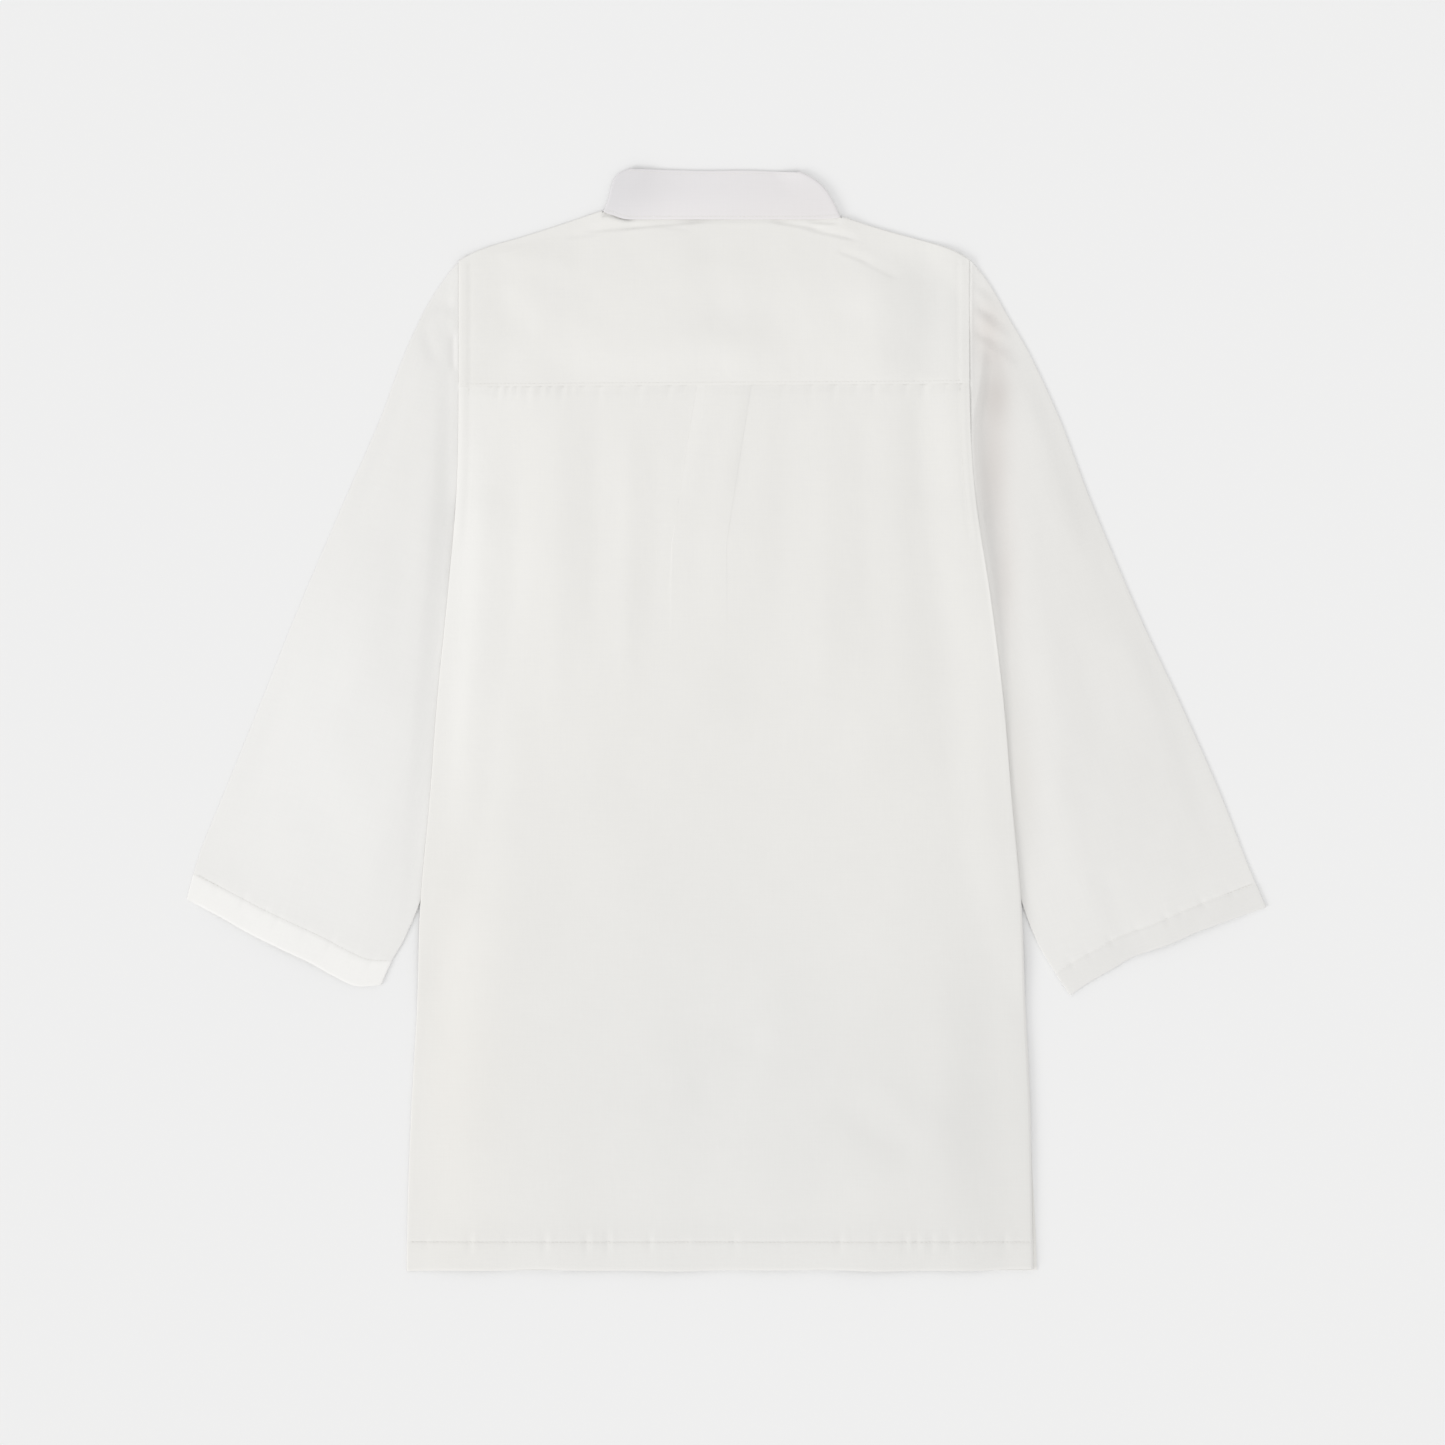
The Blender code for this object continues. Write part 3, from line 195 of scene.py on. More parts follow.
# The right sleeve hangs from under the raised edge: how far up it starts, and how far out it is
# down. Its lip is a steeper fall, which starts beside the edge and has a run of its own, and
# swells up where the two are sewn together.
Drape = namedtuple("Drape", "height rise reach lip start run swell")
RIGHT_DRAPE = rows(Drape, [
    (380, 0, 6, 0, 0, 5, 0),
    (440, 0.2, 7, 0.1, 0, 5, 0),
    (480, 0.5, 9, 0.4, 0, 5, 0),
    (504, 0.8, 12, 0.8, 0, 5, 0),
    (560, 1.4, 20, 1.9, 0, 5, 0),
    (600, 1.5, 26, 2.5, 0, 5.5, 0.1),
    (640, 1.4, 31, 4.8, 0, 6, 0.3),
    (664, 1.3, 32, 4.7, 0, 6, 0.3),
    (682, 1.2, 33, 4.5, 2, 7, 0.4),
    (700, 1.1, 34, 3.6, 6, 8, 0.5),
    (724, 0.8, 34, 2, 9, 8, 0.5),
    (752, 0.1, 24, 0.2, 10, 9, 0.5),
    (780, 0, 14, 0, 10, 10, 0.4),
])
DRAPE_UNDER = Ramp(0.0, 8.0)
SWELL_PLACE = 1.9
SWELL_WIDTH = 1.6

# The sleeve's cloth comes up to the edge of the body along the armhole
CROWN_CLEAR = {"left": Ramp(0.4, 20.0), "right": Ramp(0.4, 42.0)}
CAP_RISE = 0.4
CAP_HEIGHT = Ramp(UNDERARM + 4.0, 24.0)
CAP_BESIDE = Ramp(1.0, 9.0)

# The seam allowance along the armhole
ARMHOLE_RIDGE = 0.4
ARMHOLE_RIDGE_WIDTH = 8.0
RIDGE_INNER = Ramp(ARMHOLE_RIDGE_WIDTH - 1.6, 1.8)
RIDGE_OUTER = Ramp(0.0, 2.0)
RIDGE_FOOT = Ramp(UNDERARM - 26.0, 22.0)
RIDGE_GROOVE = Groove(0.25, 1.1)

# The box pleat: where its two folds stand at the yoke seam, and how they drift
Pleat = namedtuple("Pleat", "at_seam drift")
PLEAT_FOLDS = {"left": Pleat(-20.0, -12.5), "right": Pleat(23.2, -12.5)}
PLEAT_DRIFT_END = 1.6
PLEAT_DEPTH = 10.0
PLEAT_CLOSED = 80.0
PLEAT_OPENING = Ramp(PLEAT_CLOSED, 80.0)
PLEAT_FADING = Ramp(160.0, 55.0)
PLEAT_STEPS = {"left": 0.24, "right": 0.13}
PLEAT_STRAIGHT = 0.5
PLEAT_FLATTEST = 8.0
PLEAT_TIGHTEST = 0.5
PLEAT_SAG = 0.1
PLEAT_FIRM = PLEAT_DEPTH + 2.0
PLEAT_CLOTH = 0.05
PLEAT_BESIDE = 4.0
PLEAT_PRESSED = Ramp(2.0, 14.0)
PLEAT_COLUMNS = 9

# The neck: the collar band's foot along the back, and its front dip
FRONT_CENTRE = 1.6
FRONT_NECK = 788.8
NECK_SLOPE = math.radians(50.0)
NECK_REACH = 40.0
NECK = {"left": np.array((-95.4, 845.4)), "right": np.array((95.4, 841.2))}
BACK_NECK = 840.2
BACK_NECK_CORNER = 20.0
NECK_DIP = 1.1
NECK_DIP_UP = Ramp(0.955, 0.045)
YOKE_FRONT = 24.0
YOKE_FRONT_GAP = 0.65
NECKLINE_GAP = 1.2

# The front peeks out at the right, down by the hem
FRONT_PEEK = 3.0
FRONT_PEEK_FADE = Ramp(0.0, 110.0)

# The collar band, and where its back layer sinks and swells
COLLAR = 0.9
COLLAR_HEIGHT = 39.0
COLLAR_BACK_LEVEL = 2.9
COLLAR_FRONT_LEVEL = COLLAR / 2
COLLAR_MIDDLE_LEVEL = (COLLAR_BACK_LEVEL + COLLAR_FRONT_LEVEL) / 2
COLLAR_END_GAP = 1.0
COLLAR_STITCH = 0.055
COLLAR_BOW_FADE = Ramp(0.0, 30.0)
COLLAR_SINK = 1.9
COLLAR_SINK_UP = Ramp(0.3, 0.7)
COLLAR_TURN = Ramp(0.0, 0.4)
COLLAR_SWELL = Groove(0.7, 0.16)
COLLAR_BULGE = 0.15
COLLAR_BULGE_ENDS = 12.0
COLLAR_TOP = rows(Outline, [
    (-73.6, 880), (-60, 880.2), (-17.6, 879), (22.4, 879.2), (54.4, 877.8), (62.4, 877.4),
])

# Where each end of the collar is folded, its top corner, and how the fold bows out to it
CollarFold = namedtuple("CollarFold", "top_x top_y bow lean")
COLLAR_FOLDS = {
    "left": CollarFold(-73.6, 880.0, 6.3, 1.7),
    "right": CollarFold(62.4, 877.4, 6.0, 1.15),
}

# The neck opening in the front, and how strips and back lift over the buttons
PLACKET_WIDTH = 28.0
SLOT_HALF = PLACKET_WIDTH / 2 + 0.35
SLOT_FOOT = 520.0
BUTTON_PLACES = [756.0, 688.0, 620.0]
BUTTON_THICK = 1.4
STRIP_BUMP = BUTTON_THICK + 0.4
STRIP_BUMP_FADE = Ramp(9.0, 4.4)
BACK_BUMP = 0.7
BACK_BUMP_FADE = Ramp(20.0, 45.0)

# Soft folds: a straight line from start to end, how far the cloth stands up along it, and how
# wide the fold is. A trough has a negative rise.
Fold = namedtuple("Fold", "start_x start_y end_x end_y rise width")
FOLD_ENDS = 3.5
YOKE_CREASES = rows(Fold, [
    (84, 828, 150, 800, 0.24, 10), (-190, 812, -110, 806, 1.1, 12),
    (-186, 790, -150, 742, -0.7, 13), (-130, 730, 60, 742, 1.2, 22), (-18, 836, 6, 738, -1.1, 17),
    (120, 812, 128, 700, 1.1, 17), (168, 822, 172, 700, -1.2, 15), (176, 806, 196, 770, -0.8, 7),
])
# Pinched creases: steep on the right hand of the way from start to end, gentle on the left
Pinch = namedtuple("Pinch", "start_x start_y end_x end_y depth steep gentle")
NECK_PINCHES = rows(Pinch, [
    (-114, 830, -58, 834.8, 1.1, 1.3, 5), (-84, 832.8, -2, 839.6, 1.1, 1.3, 4),
    (-108, 846.6, -66, 838.4, 1, 1.2, 3.4), (-128, 826, -92, 829, 0.5, 1.6, 4),
    (34, 839.6, 84, 831.4, 1, 1.3, 4), (68, 838, 96, 837, 1, 1.1, 3),
    (64, 833.4, 112, 823, 0.9, 1.3, 4), (90, 816, 120, 804.6, 0.55, 1.5, 4),
    (106, 810, 144, 791, 0.45, 1.8, 5), (-58, 836, -20, 831, 0.35, 1.6, 4),
])
BACK_CREASES = rows(Fold, [
    (-192, 700, -206, 300, 0.9, 14), (-160, 718, -170, 430, -0.8, 13),
    (-128, 740, -134, 380, 0.7, 12), (-100, 722, -104, 470, -0.7, 10),
    (-74, 700, -78, 440, 0.9, 10), (-48, 690, -56, 500, -0.5, 9), (52, 730, 46, 480, -0.5, 12),
    (84, 740, 82, 420, 0.6, 12), (112, 720, 116, 500, -0.6, 11), (140, 740, 146, 400, 0.5, 13),
    (172, 726, 180, 470, -0.5, 13), (-170, 404, -40, 392, -0.7, 34), (-60, 392, 130, 430, -0.8, 36),
    (110, 420, 216, 440, -0.6, 30), (42, 194, -34, 134, -0.9, 11), (12, 196, -60, 150, 0.7, 13),
    (84, 144, 160, 82, -0.9, 15), (112, 160, 190, 96, 0.6, 15), (-196, 320, -206, 40, 1, 20),
    (-150, 280, -150, 20, -0.6, 24), (206, 300, 214, 10, -1.1, 20), (176, 260, 178, 30, 0.7, 18),
])
SLEEVE_CREASES = {
    "left": rows(Fold, [
        (-222, 786, -244, 770, 0.8, 4), (-213, 776, -240, 765, -0.9, 2.6),
        (-212, 768, -246, 752, 0.8, 4.2), (-214, 754, -214, 716, -1.2, 4),
        (-246, 770, -226, 720, -0.8, 5.5), (-250, 736, -300, 560, -0.6, 15),
        (-226, 700, -252, 470, 0.7, 11), (-262, 590, -322, 380, 0.9, 20),
        (-340, 500, -386, 350, -0.6, 15), (-250, 420, -290, 270, 0.5, 12),
        (-258, 282, -246, 262, 0.5, 3),
    ]),
    "right": rows(Fold, [
        (199, 790, 226, 779, -0.8, 3), (200, 784, 230, 768, 1, 4), (201, 772, 226, 758, -0.9, 3),
        (200, 764, 236, 744, 1.1, 4.4), (200, 752, 224, 738, -0.8, 3.2),
        (206, 744, 238, 722, 0.8, 5), (236, 720, 284, 560, 0.8, 13), (262, 560, 326, 370, -0.7, 17),
        (318, 520, 372, 390, 0.6, 14), (352, 470, 396, 340, -0.6, 14),
        (262, 420, 300, 270, 0.6, 13), (300, 330, 330, 250, -0.5, 12),
    ]),
}

# Slow unevenness of each cloth: how high, how long its waves are, its seed and its stretch
Uneven = namedtuple("Uneven", "height length seed stretch", defaults=[1.0])
BACK_SLOW = Uneven(0.30, 95.0, 3, 2.2)
BACK_FINE = Uneven(0.03, 26.0, 5, 1.6)
YOKE_SLOW = Uneven(0.22, 70.0, 8)
YOKE_FINE = Uneven(0.03, 22.0, 11)
SLEEVE_SLOW = {"left": Uneven(0.26, 80.0, 21, 1.5), "right": Uneven(0.26, 80.0, 34, 1.5)}
SLEEVE_FINE = {"left": Uneven(0.03, 24.0, 22), "right": Uneven(0.03, 24.0, 35)}
WAVES = 14
WAVE_LENGTHS = (0.6, 1.7)

# Puckers along a seam: the place across, how deep, how long and how wide. Each has a ridge beside
# it, which is lower than the pucker is deep and lies some widths away.
Pucker = namedtuple("Pucker", "place depth run width")
PUCKER_RIDGE = 0.55
PUCKER_RIDGE_AWAY = 1.5
YOKE_PUCKERS = rows(Pucker, [
    (-186, 0.5, 9.6, 2), (-180, 0.9, 15.6, 2.2), (-172, 0.9, 10.8, 1.9), (-165.6, 0.8, 13.2, 1.9),
    (-160, 0.5, 8.4, 1.8), (-156, 0.9, 20.4, 2.4), (-145.6, 0.9, 12, 2.2), (-137.6, 0.7, 9.6, 2),
    (-128, 0.9, 18, 2.4), (-121.6, 0.6, 10.8, 2), (-112, 0.4, 12, 2.6), (-98, 0.5, 19.2, 2.8),
    (-80, 0.4, 14.4, 2.4), (-66, 0.6, 24, 3), (-42, 0.7, 15.6, 2.4), (-30, 0.4, 8.4, 2),
    (50, 0.4, 13.2, 2.6), (72, 0.4, 15.6, 2.6), (90.4, 0.6, 20.4, 2.6), (108, 0.4, 12, 2.4),
    (122.4, 0.7, 15.6, 2.4), (136, 0.4, 10.8, 2.2), (148, 0.5, 13.2, 2.4), (162.4, 1, 18, 2.8),
    (180, 0.5, 10.8, 2.2), (192, 0.7, 8.4, 2),
])
HEM_PUCKERS = rows(Pucker, [
    (-236, 0.4, 8, 2.2), (-201.6, 0.8, 12, 2.6), (-172, 0.4, 9, 2.2), (-141.6, 0.8, 13, 2.6),
    (-108, 0.8, 12, 2.6), (-91.2, 0.9, 14, 2.4), (-57.6, 0.7, 12, 2.6), (-28, 0.4, 9, 2.4),
    (10.4, 0.7, 12, 2.6), (48, 0.4, 8, 2.4), (94.4, 0.8, 13, 2.6), (124, 0.5, 10, 2.2),
    (146.4, 0.9, 13, 2.4), (156, 0.7, 11, 2.2), (168, 0.9, 14, 2.4), (182.4, 0.7, 12, 2.4),
    (204, 0.5, 9, 2.4), (226.4, 0.8, 12, 2.6),
])
CUFF_PUCKERS = rows(Pucker, [
    (0.12, 0.5, 8, 2.2), (0.26, 0.7, 10, 2.2), (0.37, 0.5, 8, 2), (0.44, 0.7, 10, 2.2),
    (0.58, 0.5, 9, 2.2), (0.71, 0.7, 10, 2.2), (0.83, 0.5, 9, 2), (0.92, 0.6, 10, 2),
])

# Painted light and shade: zones where the cloth is painted lighter or darker than its own white
Zone = namedtuple("Zone", "x y reach_x reach_y change warmth green", defaults=[0.4])
# Painted light at the back's left side, painted shade towards its lower right and beside its folds
BACK_ZONES = rows(Zone, [
    (0, 31, 300, 11, -0.012, 0), (-206, 560, 36, 200, 0.056, -0.006),
    (-150, 520, 60, 190, 0.016, 0), (-74, 600, 16, 110, 0.008, 0), (-12, 610, 14, 110, 0.01, 0),
    (-100, 704.5, 34, 2.4, 0.014, 0), (172, 590, 56, 150, -0.022, 0), (184, 640, 14, 80, -0.016, 0),
    (20, 130, 210, 200, -0.026, -0.014), (30, 170, 60, 30, -0.01, 0), (112, 108, 50, 34, -0.01, 0),
    (222, 110, 76, 190, -0.054, -0.004), (-214, 180, 40, 170, 0.02, 0.016),
])
# Painted light and shade of the yoke's folds and seam
YOKE_ZONES = rows(Zone, [
    (-10, 760, 190, 60, 0.012, 0), (-96, 728, 66, 22, 0.014, 0), (74, 726, 66, 20, 0.012, 0),
    (-60, 764, 40, 18, 0.01, 0), (6, 770, 34, 26, -0.014, 0), (168, 764, 40, 50, -0.04, -0.008),
    (0, 812, 80, 26, -0.018, 0), (150, 818, 34, 10, 0.016, 0),
])
# Left sleeve painted lighter, right one painted darker, with a painted shadow band by the body's edge
SLEEVE_ZONES = {
    "left": rows(Zone, [
        (-330, 400, 100, 170, 0.044, -0.01), (-236, 752, 12, 26, -0.026, 0),
    ]),
    "right": rows(Zone, [
        (340, 360, 90, 120, -0.026, 0), (290, 590, 90, 180, -0.026, 0.006),
        (213, 752, 13, 20, -0.078, 0.036, 0.75), (218, 731, 13, 10, -0.07, 0.014, 0.75),
        (211, 772, 12, 22, -0.034, 0.004), (219, 702, 13, 25, -0.142, 0.03, 0.75),
        (217, 644, 13, 46, -0.094, 0.032, 0.75), (226, 556, 10, 44, -0.05, 0.022, 0.75),
        (230, 460, 10, 60, -0.036, 0.008), (238, 384, 14, 60, -0.05, 0.012),
    ]),
}
# Painted shade at the collar's ends and top, painted light along its foot
COLLAR_ZONES = rows(Zone, [
    (-96, 858, 36, 60, -0.104, -0.01), (-54, 866, 20, 30, -0.024, 0), (0, 876, 120, 12, -0.012, 0),
    (66, 852, 50, 34, -0.022, 0.01), (-66, 842, 46, 14, 0.034, 0.004), (20, 842, 90, 12, 0, 0.008),
])
# A painted highlight along the body's right edge over the sleeve, and on the sleeve beside it
EDGE_PAINTED_HIGHLIGHT = Groove(0.09, 1.8)
EDGE_PAINTED_HIGHLIGHT_HEIGHT = Ramp(440.0, 60.0)
# The back's hem band is a little darker
HEM_TONE = -0.003
HEM_TONE_END = Ramp(HEM, 1.0)
# Painted light on the left cuff and painted shade on the right one
CUFF_PAINTED_LIGHT_AND_SHADE = {"left": 0.072, "right": -0.028}


# Curves and tables

FINE_STEPS = 400
NUDGE = 0.01


def smooth(value):
    """A soft step from 0 to 1."""
    value = np.clip(value, 0.0, 1.0)
    return value * value * (3.0 - 2.0 * value)


def up(value, ramp):
    """A soft step up, from 0 before the ramp to 1 past it."""
    return smooth((value - ramp.start) / ramp.run)


def down(value, ramp):
    """A soft step down, from 1 before the ramp to 0 past it."""
    return 1.0 - up(value, ramp)


def hump(away, width):
    """A soft hump, 1 at its middle."""
    return np.exp(-((away / width) ** 2))


def groove(away, shape):
    return shape.depth * hump(away, shape.width)


def mix(first, second, share):
    return first + (second - first) * share


def unit(vector):
    return vector / np.linalg.norm(vector, axis=-1, keepdims=True)


def to_the_right(vector):
    """A direction in the plan, turned a quarter clockwise."""
    return np.array((vector[1], -vector[0]))


def grid_points(x, y, z):
    """Points from coordinates that spread over the same grid."""
    return np.stack(np.broadcast_arrays(x, y, z), -1)


def follow(table, key, field, at):
    """One column of a table, read between its rows on a smooth curve."""
    places = np.array([getattr(row, key) for row in table], float)
    values = np.array([getattr(row, field) for row in table], float)
    last = len(table) - 1
    index = np.arange(last + 1)
    low = np.maximum(index - 1, 0)
    high = np.minimum(index + 1, last)
    slopes = (values[high] - values[low]) / (places[high] - places[low])
    at = np.clip(at, places[0], places[-1])
    k = np.searchsorted(places[1:-1], at, side="left")
    width = places[k + 1] - places[k]
    f = (at - places[k]) / width
    rise = values[k + 1] - values[k]
    start = slopes[k] * width
    end = slopes[k + 1] * width
    return values[k] + f * (start + f * (3 * rise - 2 * start - end + f * (start + end - 2 * rise)))


def body_edge(side, height):
    return follow(BODY_EDGES, "height", side, height)


def inside_edge(x, y):
    """How far a place lies inside the nearer side edge of the body."""
    return np.minimum(x - body_edge("left", y), body_edge("right", y) - x)


def shoulder_line(x):
    left, right = [follow(SHOULDERS[side], "across", "height", x) for side in SIDES]
    return np.where(x < 0.0, left, right)


def seam_height(across):
    return YOKE_SEAM + YOKE_SEAM_TILT * across


def bezier(points, share):
    a, b, c, d = points
    share = np.asarray(share, float)[..., None]
    rest = 1.0 - share
    return a * rest**3 + b * 3 * rest**2 * share + c * 3 * rest * share**2 + d * share**3


def heading(line, share):
    """Which way a line runs at a share of it."""
    return line(min(share + NUDGE, 1.0)) - line(max(share - NUDGE, 0.0))


def front_neck(side):
    """The four points of the curve that the collar's foot follows on the front."""
    outward = OUTWARD[side]
    start = NECK[side]
    end = np.array((FRONT_CENTRE + outward * COLLAR_END_GAP / 2, FRONT_NECK))
    lean = np.array((-outward * math.cos(NECK_SLOPE), -math.sin(NECK_SLOPE))) * NECK_REACH
    return (start, start + lean, end + np.array((outward * NECK_REACH, 0.0)), end)


def neck_share(side, field, value):
    """Where the front neck curve has a given x (field 0) or y (field 1)."""
    shares = np.linspace(0.0, 1.0, FINE_STEPS)
    places = bezier(front_neck(side), shares)[:, field]
    order = np.argsort(places)
    return np.interp(value, places[order], shares[order])


def distance_to_line(x, y, start, end):
    """How far places lie from a straight stretch, and how far along it."""
    along_x = end[0] - start[0]
    along_y = end[1] - start[1]
    share = ((x - start[0]) * along_x + (y - start[1]) * along_y) / (along_x**2 + along_y**2)
    share = np.clip(share, 0.0, 1.0)
    away = np.hypot(x - start[0] - along_x * share, y - start[1] - along_y * share)
    return away, share


def faded_ends(share):
    """A fold fades out at both of its ends."""
    return smooth(share * FOLD_ENDS) * smooth((1.0 - share) * FOLD_ENDS)


def relief(folds, x, y):
    """The soft folds of a table."""
    rise = np.zeros(np.broadcast(x, y).shape)
    for fold in folds:
        away, share = distance_to_line(x, y, fold[:2], fold[2:4])
        rise += fold.rise * hump(away, fold.width) * faded_ends(share)
    return rise


def pinches(table, x, y):
    """The pinched creases of a table."""
    drop = np.zeros(np.broadcast(x, y).shape)
    for pinch in table:
        start, end = pinch[:2], pinch[2:4]
        away, share = distance_to_line(x, y, start, end)
        turned = (end[0] - start[0]) * (y - start[1]) - (end[1] - start[1]) * (x - start[0])
        reach = np.where(turned < 0.0, pinch.steep, pinch.gentle)
        drop += pinch.depth * hump(away, reach) * faded_ends(share)
    return drop


def unevenness(uneven, x, y):
    """Slow waves in many directions, for cloth that isn't quite flat."""
    chance = np.random.default_rng(uneven.seed)
    total = np.zeros(np.broadcast(x, y).shape)
    for _ in range(WAVES):
        turn = chance.uniform(0.0, math.pi)
        length = uneven.length * chance.uniform(*WAVE_LENGTHS)
        phase = chance.uniform(0.0, math.tau)
        walk = (x * math.cos(turn) + y / uneven.stretch * math.sin(turn)) * math.tau / length
        total += np.sin(walk + phase)
    return uneven.height * (total / math.sqrt(WAVES / 2))


def seam_puckers(table, place, away):
    """Short creases that start at a seam and run off square to it."""
    drop = np.zeros(np.broadcast(place, away).shape)
    for pucker in table:
        beside = place - pucker.place
        ridge = hump(beside - PUCKER_RIDGE_AWAY * pucker.width, pucker.width)
        fade = 1.0 - smooth(np.abs(away) / pucker.run)
        drop += pucker.depth * (hump(beside, pucker.width) - PUCKER_RIDGE * ridge) * fade
    return drop


def zones(table, x, y):
    """How much the painted light and shade of a table's zones add to red, green and blue at each place."""
    change = np.zeros((*np.broadcast(x, y).shape, 3))
    for zone in table:
        away = ((x - zone.x) / zone.reach_x) ** 2 + ((y - zone.y) / zone.reach_y) ** 2
        warm = zone.warmth * np.array((0.0, -zone.green, -1.0))
        change += np.exp(-away)[..., None] * (zone.change + warm)
    return change


def edge_painted_highlight(x, y):
    """The painted highlight that is added to the zones along the body's right edge."""
    pale = groove(x - body_edge("right", y), EDGE_PAINTED_HIGHLIGHT) * up(y, EDGE_PAINTED_HIGHLIGHT_HEIGHT)
    return pale[..., None]


# Heights of the layers

INNER_STEPS = 25


def sleeve_line(side, edge, share):
    """A sleeve's outer or inner fold, seen from above."""
    return np.stack([follow(SLEEVES[side], "share", edge + axis, share) for axis in ("_x", "_y")], -1)


def inner_fold(side):
    """Points along a sleeve's inner fold, from the cuff up."""
    return sleeve_line(side, "inner", np.linspace(1.0, 0.0, INNER_STEPS))


def sleeve_distance(side, x, y):
    """How far a place in the body lies from the sleeve that is tucked under it."""
    fold = inner_fold(side)
    nearest = np.full(np.broadcast(x, y).shape, FAR)
    for start, end in zip(fold[1:], fold):
        away, _ = distance_to_line(x, y, start, end)
        nearest = np.minimum(nearest, away)
    fold_x = np.interp(y, fold[:, 1], fold[:, 0])
    beyond = (OUTWARD[side] * (x - fold_x) >= 0.0) & (y <= fold[-1, 1]) & (y >= fold[0, 1])
    return np.where(beyond, 0.0, nearest)


def right_lift(field, x, y):
    """The body's right edge is held up by the sleeve bunched under it."""
    lift = np.maximum(follow(RIGHT_LIFTS, "height", field, y), 0.0)
    return lift * down(body_edge("right", y) - x, RIGHT_LIFT_INSIDE)


def edge_roll(side, y):
    """How far the body's edge rolls down: onto the front at the side seam, less at the armhole."""
    room = follow(EDGE_ROOMS, "height", side, y)
    return mix(SIDE_ROLL_SHARE * room, ARMHOLE_ROLL, up(y, SIDE_ROLL_END))


def rolled_edge(radius):
    """The steps of a rolled edge: how far inside the outline, and how far down."""
    angles = np.radians(np.linspace(90.0, 0.0, ROLL_STEPS))
    return CLOTH / 2 + radius * (1.0 - np.sin(angles)), radius * (1.0 - np.cos(angles))


def over_buttons(x, y, bump, fade):
    """How far a layer lifts over the buttons."""
    away = [np.hypot(x - FRONT_CENTRE, y - place) for place in BUTTON_PLACES]
    return bump * down(np.minimum.reduce(away), fade)


def front_level(x, y):
    """Middle of the front's cloth."""
    over = [down(sleeve_distance(side, x, y), FRONT_OVER_SLEEVE) for side in SIDES]
    return TABLE + FRONT_LIFT * np.maximum(*over) + right_lift("front", x, y)


def back_level(x, y):
    """Middle of the back's and yoke's cloth, without pleat, folds and gathers."""
    inside = inside_edge(x, y)
    left_room, right_room = [follow(EDGE_ROOMS, "height", side, y) for side in SIDES]
    loose = mix(np.where(x < 0.0, left_room, right_room), LOOSE_ROOM, smooth(inside / LOOSE_RUN))
    on_shoulder = up(np.abs(x), SHOULDER_ACROSS) * up(inside, SHOULDER_INSIDE)
    loose = loose * (1.0 - SHOULDER_PRESS * on_shoulder * down(shoulder_line(x) - y, SHOULDER_BELOW))
    lift = 0.0
    for side in SIDES:
        over_sleeve = down(sleeve_distance(side, x, y), BACK_OVER_SLEEVE)
        past_mouth = np.maximum(OUTWARD[side] * (MOUTH[side] - x), 0.0)
        below = np.maximum(UNDERARM - y, 0.0)
        over_mouth = down(np.hypot(past_mouth, below), BACK_OVER_MOUTH)
        lift = lift + ((FRONT_LIFT * over_sleeve) ** 4 + (ARMHOLE_LIFT * over_mouth) ** 4) ** 0.25
    bump = over_buttons(x, y, BACK_BUMP, BACK_BUMP_FADE)
    return TABLE + CLOTH + loose + lift + bump + right_lift("back", x, y)


def armhole_ridge(x, y):
    """The seam allowance that is pressed inwards along the armhole, up to its row of stitches."""
    inside = inside_edge(x, y)
    ridge = up(inside, RIDGE_OUTER) * down(inside, RIDGE_INNER)
    stitched = groove(inside - ARMHOLE_RIDGE_WIDTH, RIDGE_GROOVE)
    return (ARMHOLE_RIDGE * ridge - stitched) * up(y, RIDGE_FOOT)


# Thin shells of cloth

def plan_origin():
    """Where the frame's origin lies in the shirt's plan: the first button is in a known place."""
    low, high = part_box("button_1")
    centre = (Vector(low) + Vector(high)) / 2 / METRE
    return np.array((FRONT_CENTRE - centre.x, BUTTON_PLACES[0] - centre.y, 0.0))


ORIGIN = plan_origin()


def in_frame(points):
    """Millimetres in the plan to metres in the frame."""
    return (np.array(points, float) - ORIGIN) * METRE


def new_object(name, data):
    made = bpy.data.objects.new(name, data)
    bpy.context.scene.collection.objects.link(made)
    return made


def shell(name, grid, thickness, loop=False, keep=None, tone=0.0):
    """A closed shell of cloth round a grid of points (rows, columns, xyz) in its middle.

    With loop, each row is a closed ring. Keep says which cells are there. Thickness is a number
    or an array over the grid's points, and tone has red, green and blue for each of them.
    """
    size = grid.shape[:2]
    index = np.arange(size[0] * size[1]).reshape(size)
    if loop:
        index = np.concatenate((index, index[:, :1]), axis=1)
    quads = np.stack((index[:-1, :-1], index[:-1, 1:], index[1:, 1:], index[1:, :-1]), -1)
    if keep is not None:
        quads = quads[keep]
    used, quads = np.unique(quads.reshape(-1, 4), return_inverse=True)
    data = bpy.data.meshes.new(name)
    data.from_pydata(in_frame(grid.reshape(-1, 3))[used].tolist(), [], quads.reshape(-1, 4).tolist())
    data.update()
    piece = new_object(name, data)
    thick = np.broadcast_to(thickness, size).reshape(-1)[used]
    most = float(thick.max())
    group = piece.vertex_groups.new(name="thickness")
    for value in np.unique(thick):
        group.add(np.nonzero(thick == value)[0].tolist(), float(value) / most, "REPLACE")
    shade = np.broadcast_to(tone, (*size, 3)).reshape(-1, 3)[used]
    tones = data.attributes.new("tone", "FLOAT_VECTOR", "POINT")
    tones.data.foreach_set("vector", shade.astype(np.float32).reshape(-1))
    wall = piece.modifiers.new("cloth", "SOLIDIFY")
    wall.thickness = most * METRE
    wall.offset = 0.0
    wall.vertex_group = group.name
    wall.use_even_offset = True
    wall.thickness_clamp = 0.0
    apply_modifiers(piece)
    return piece


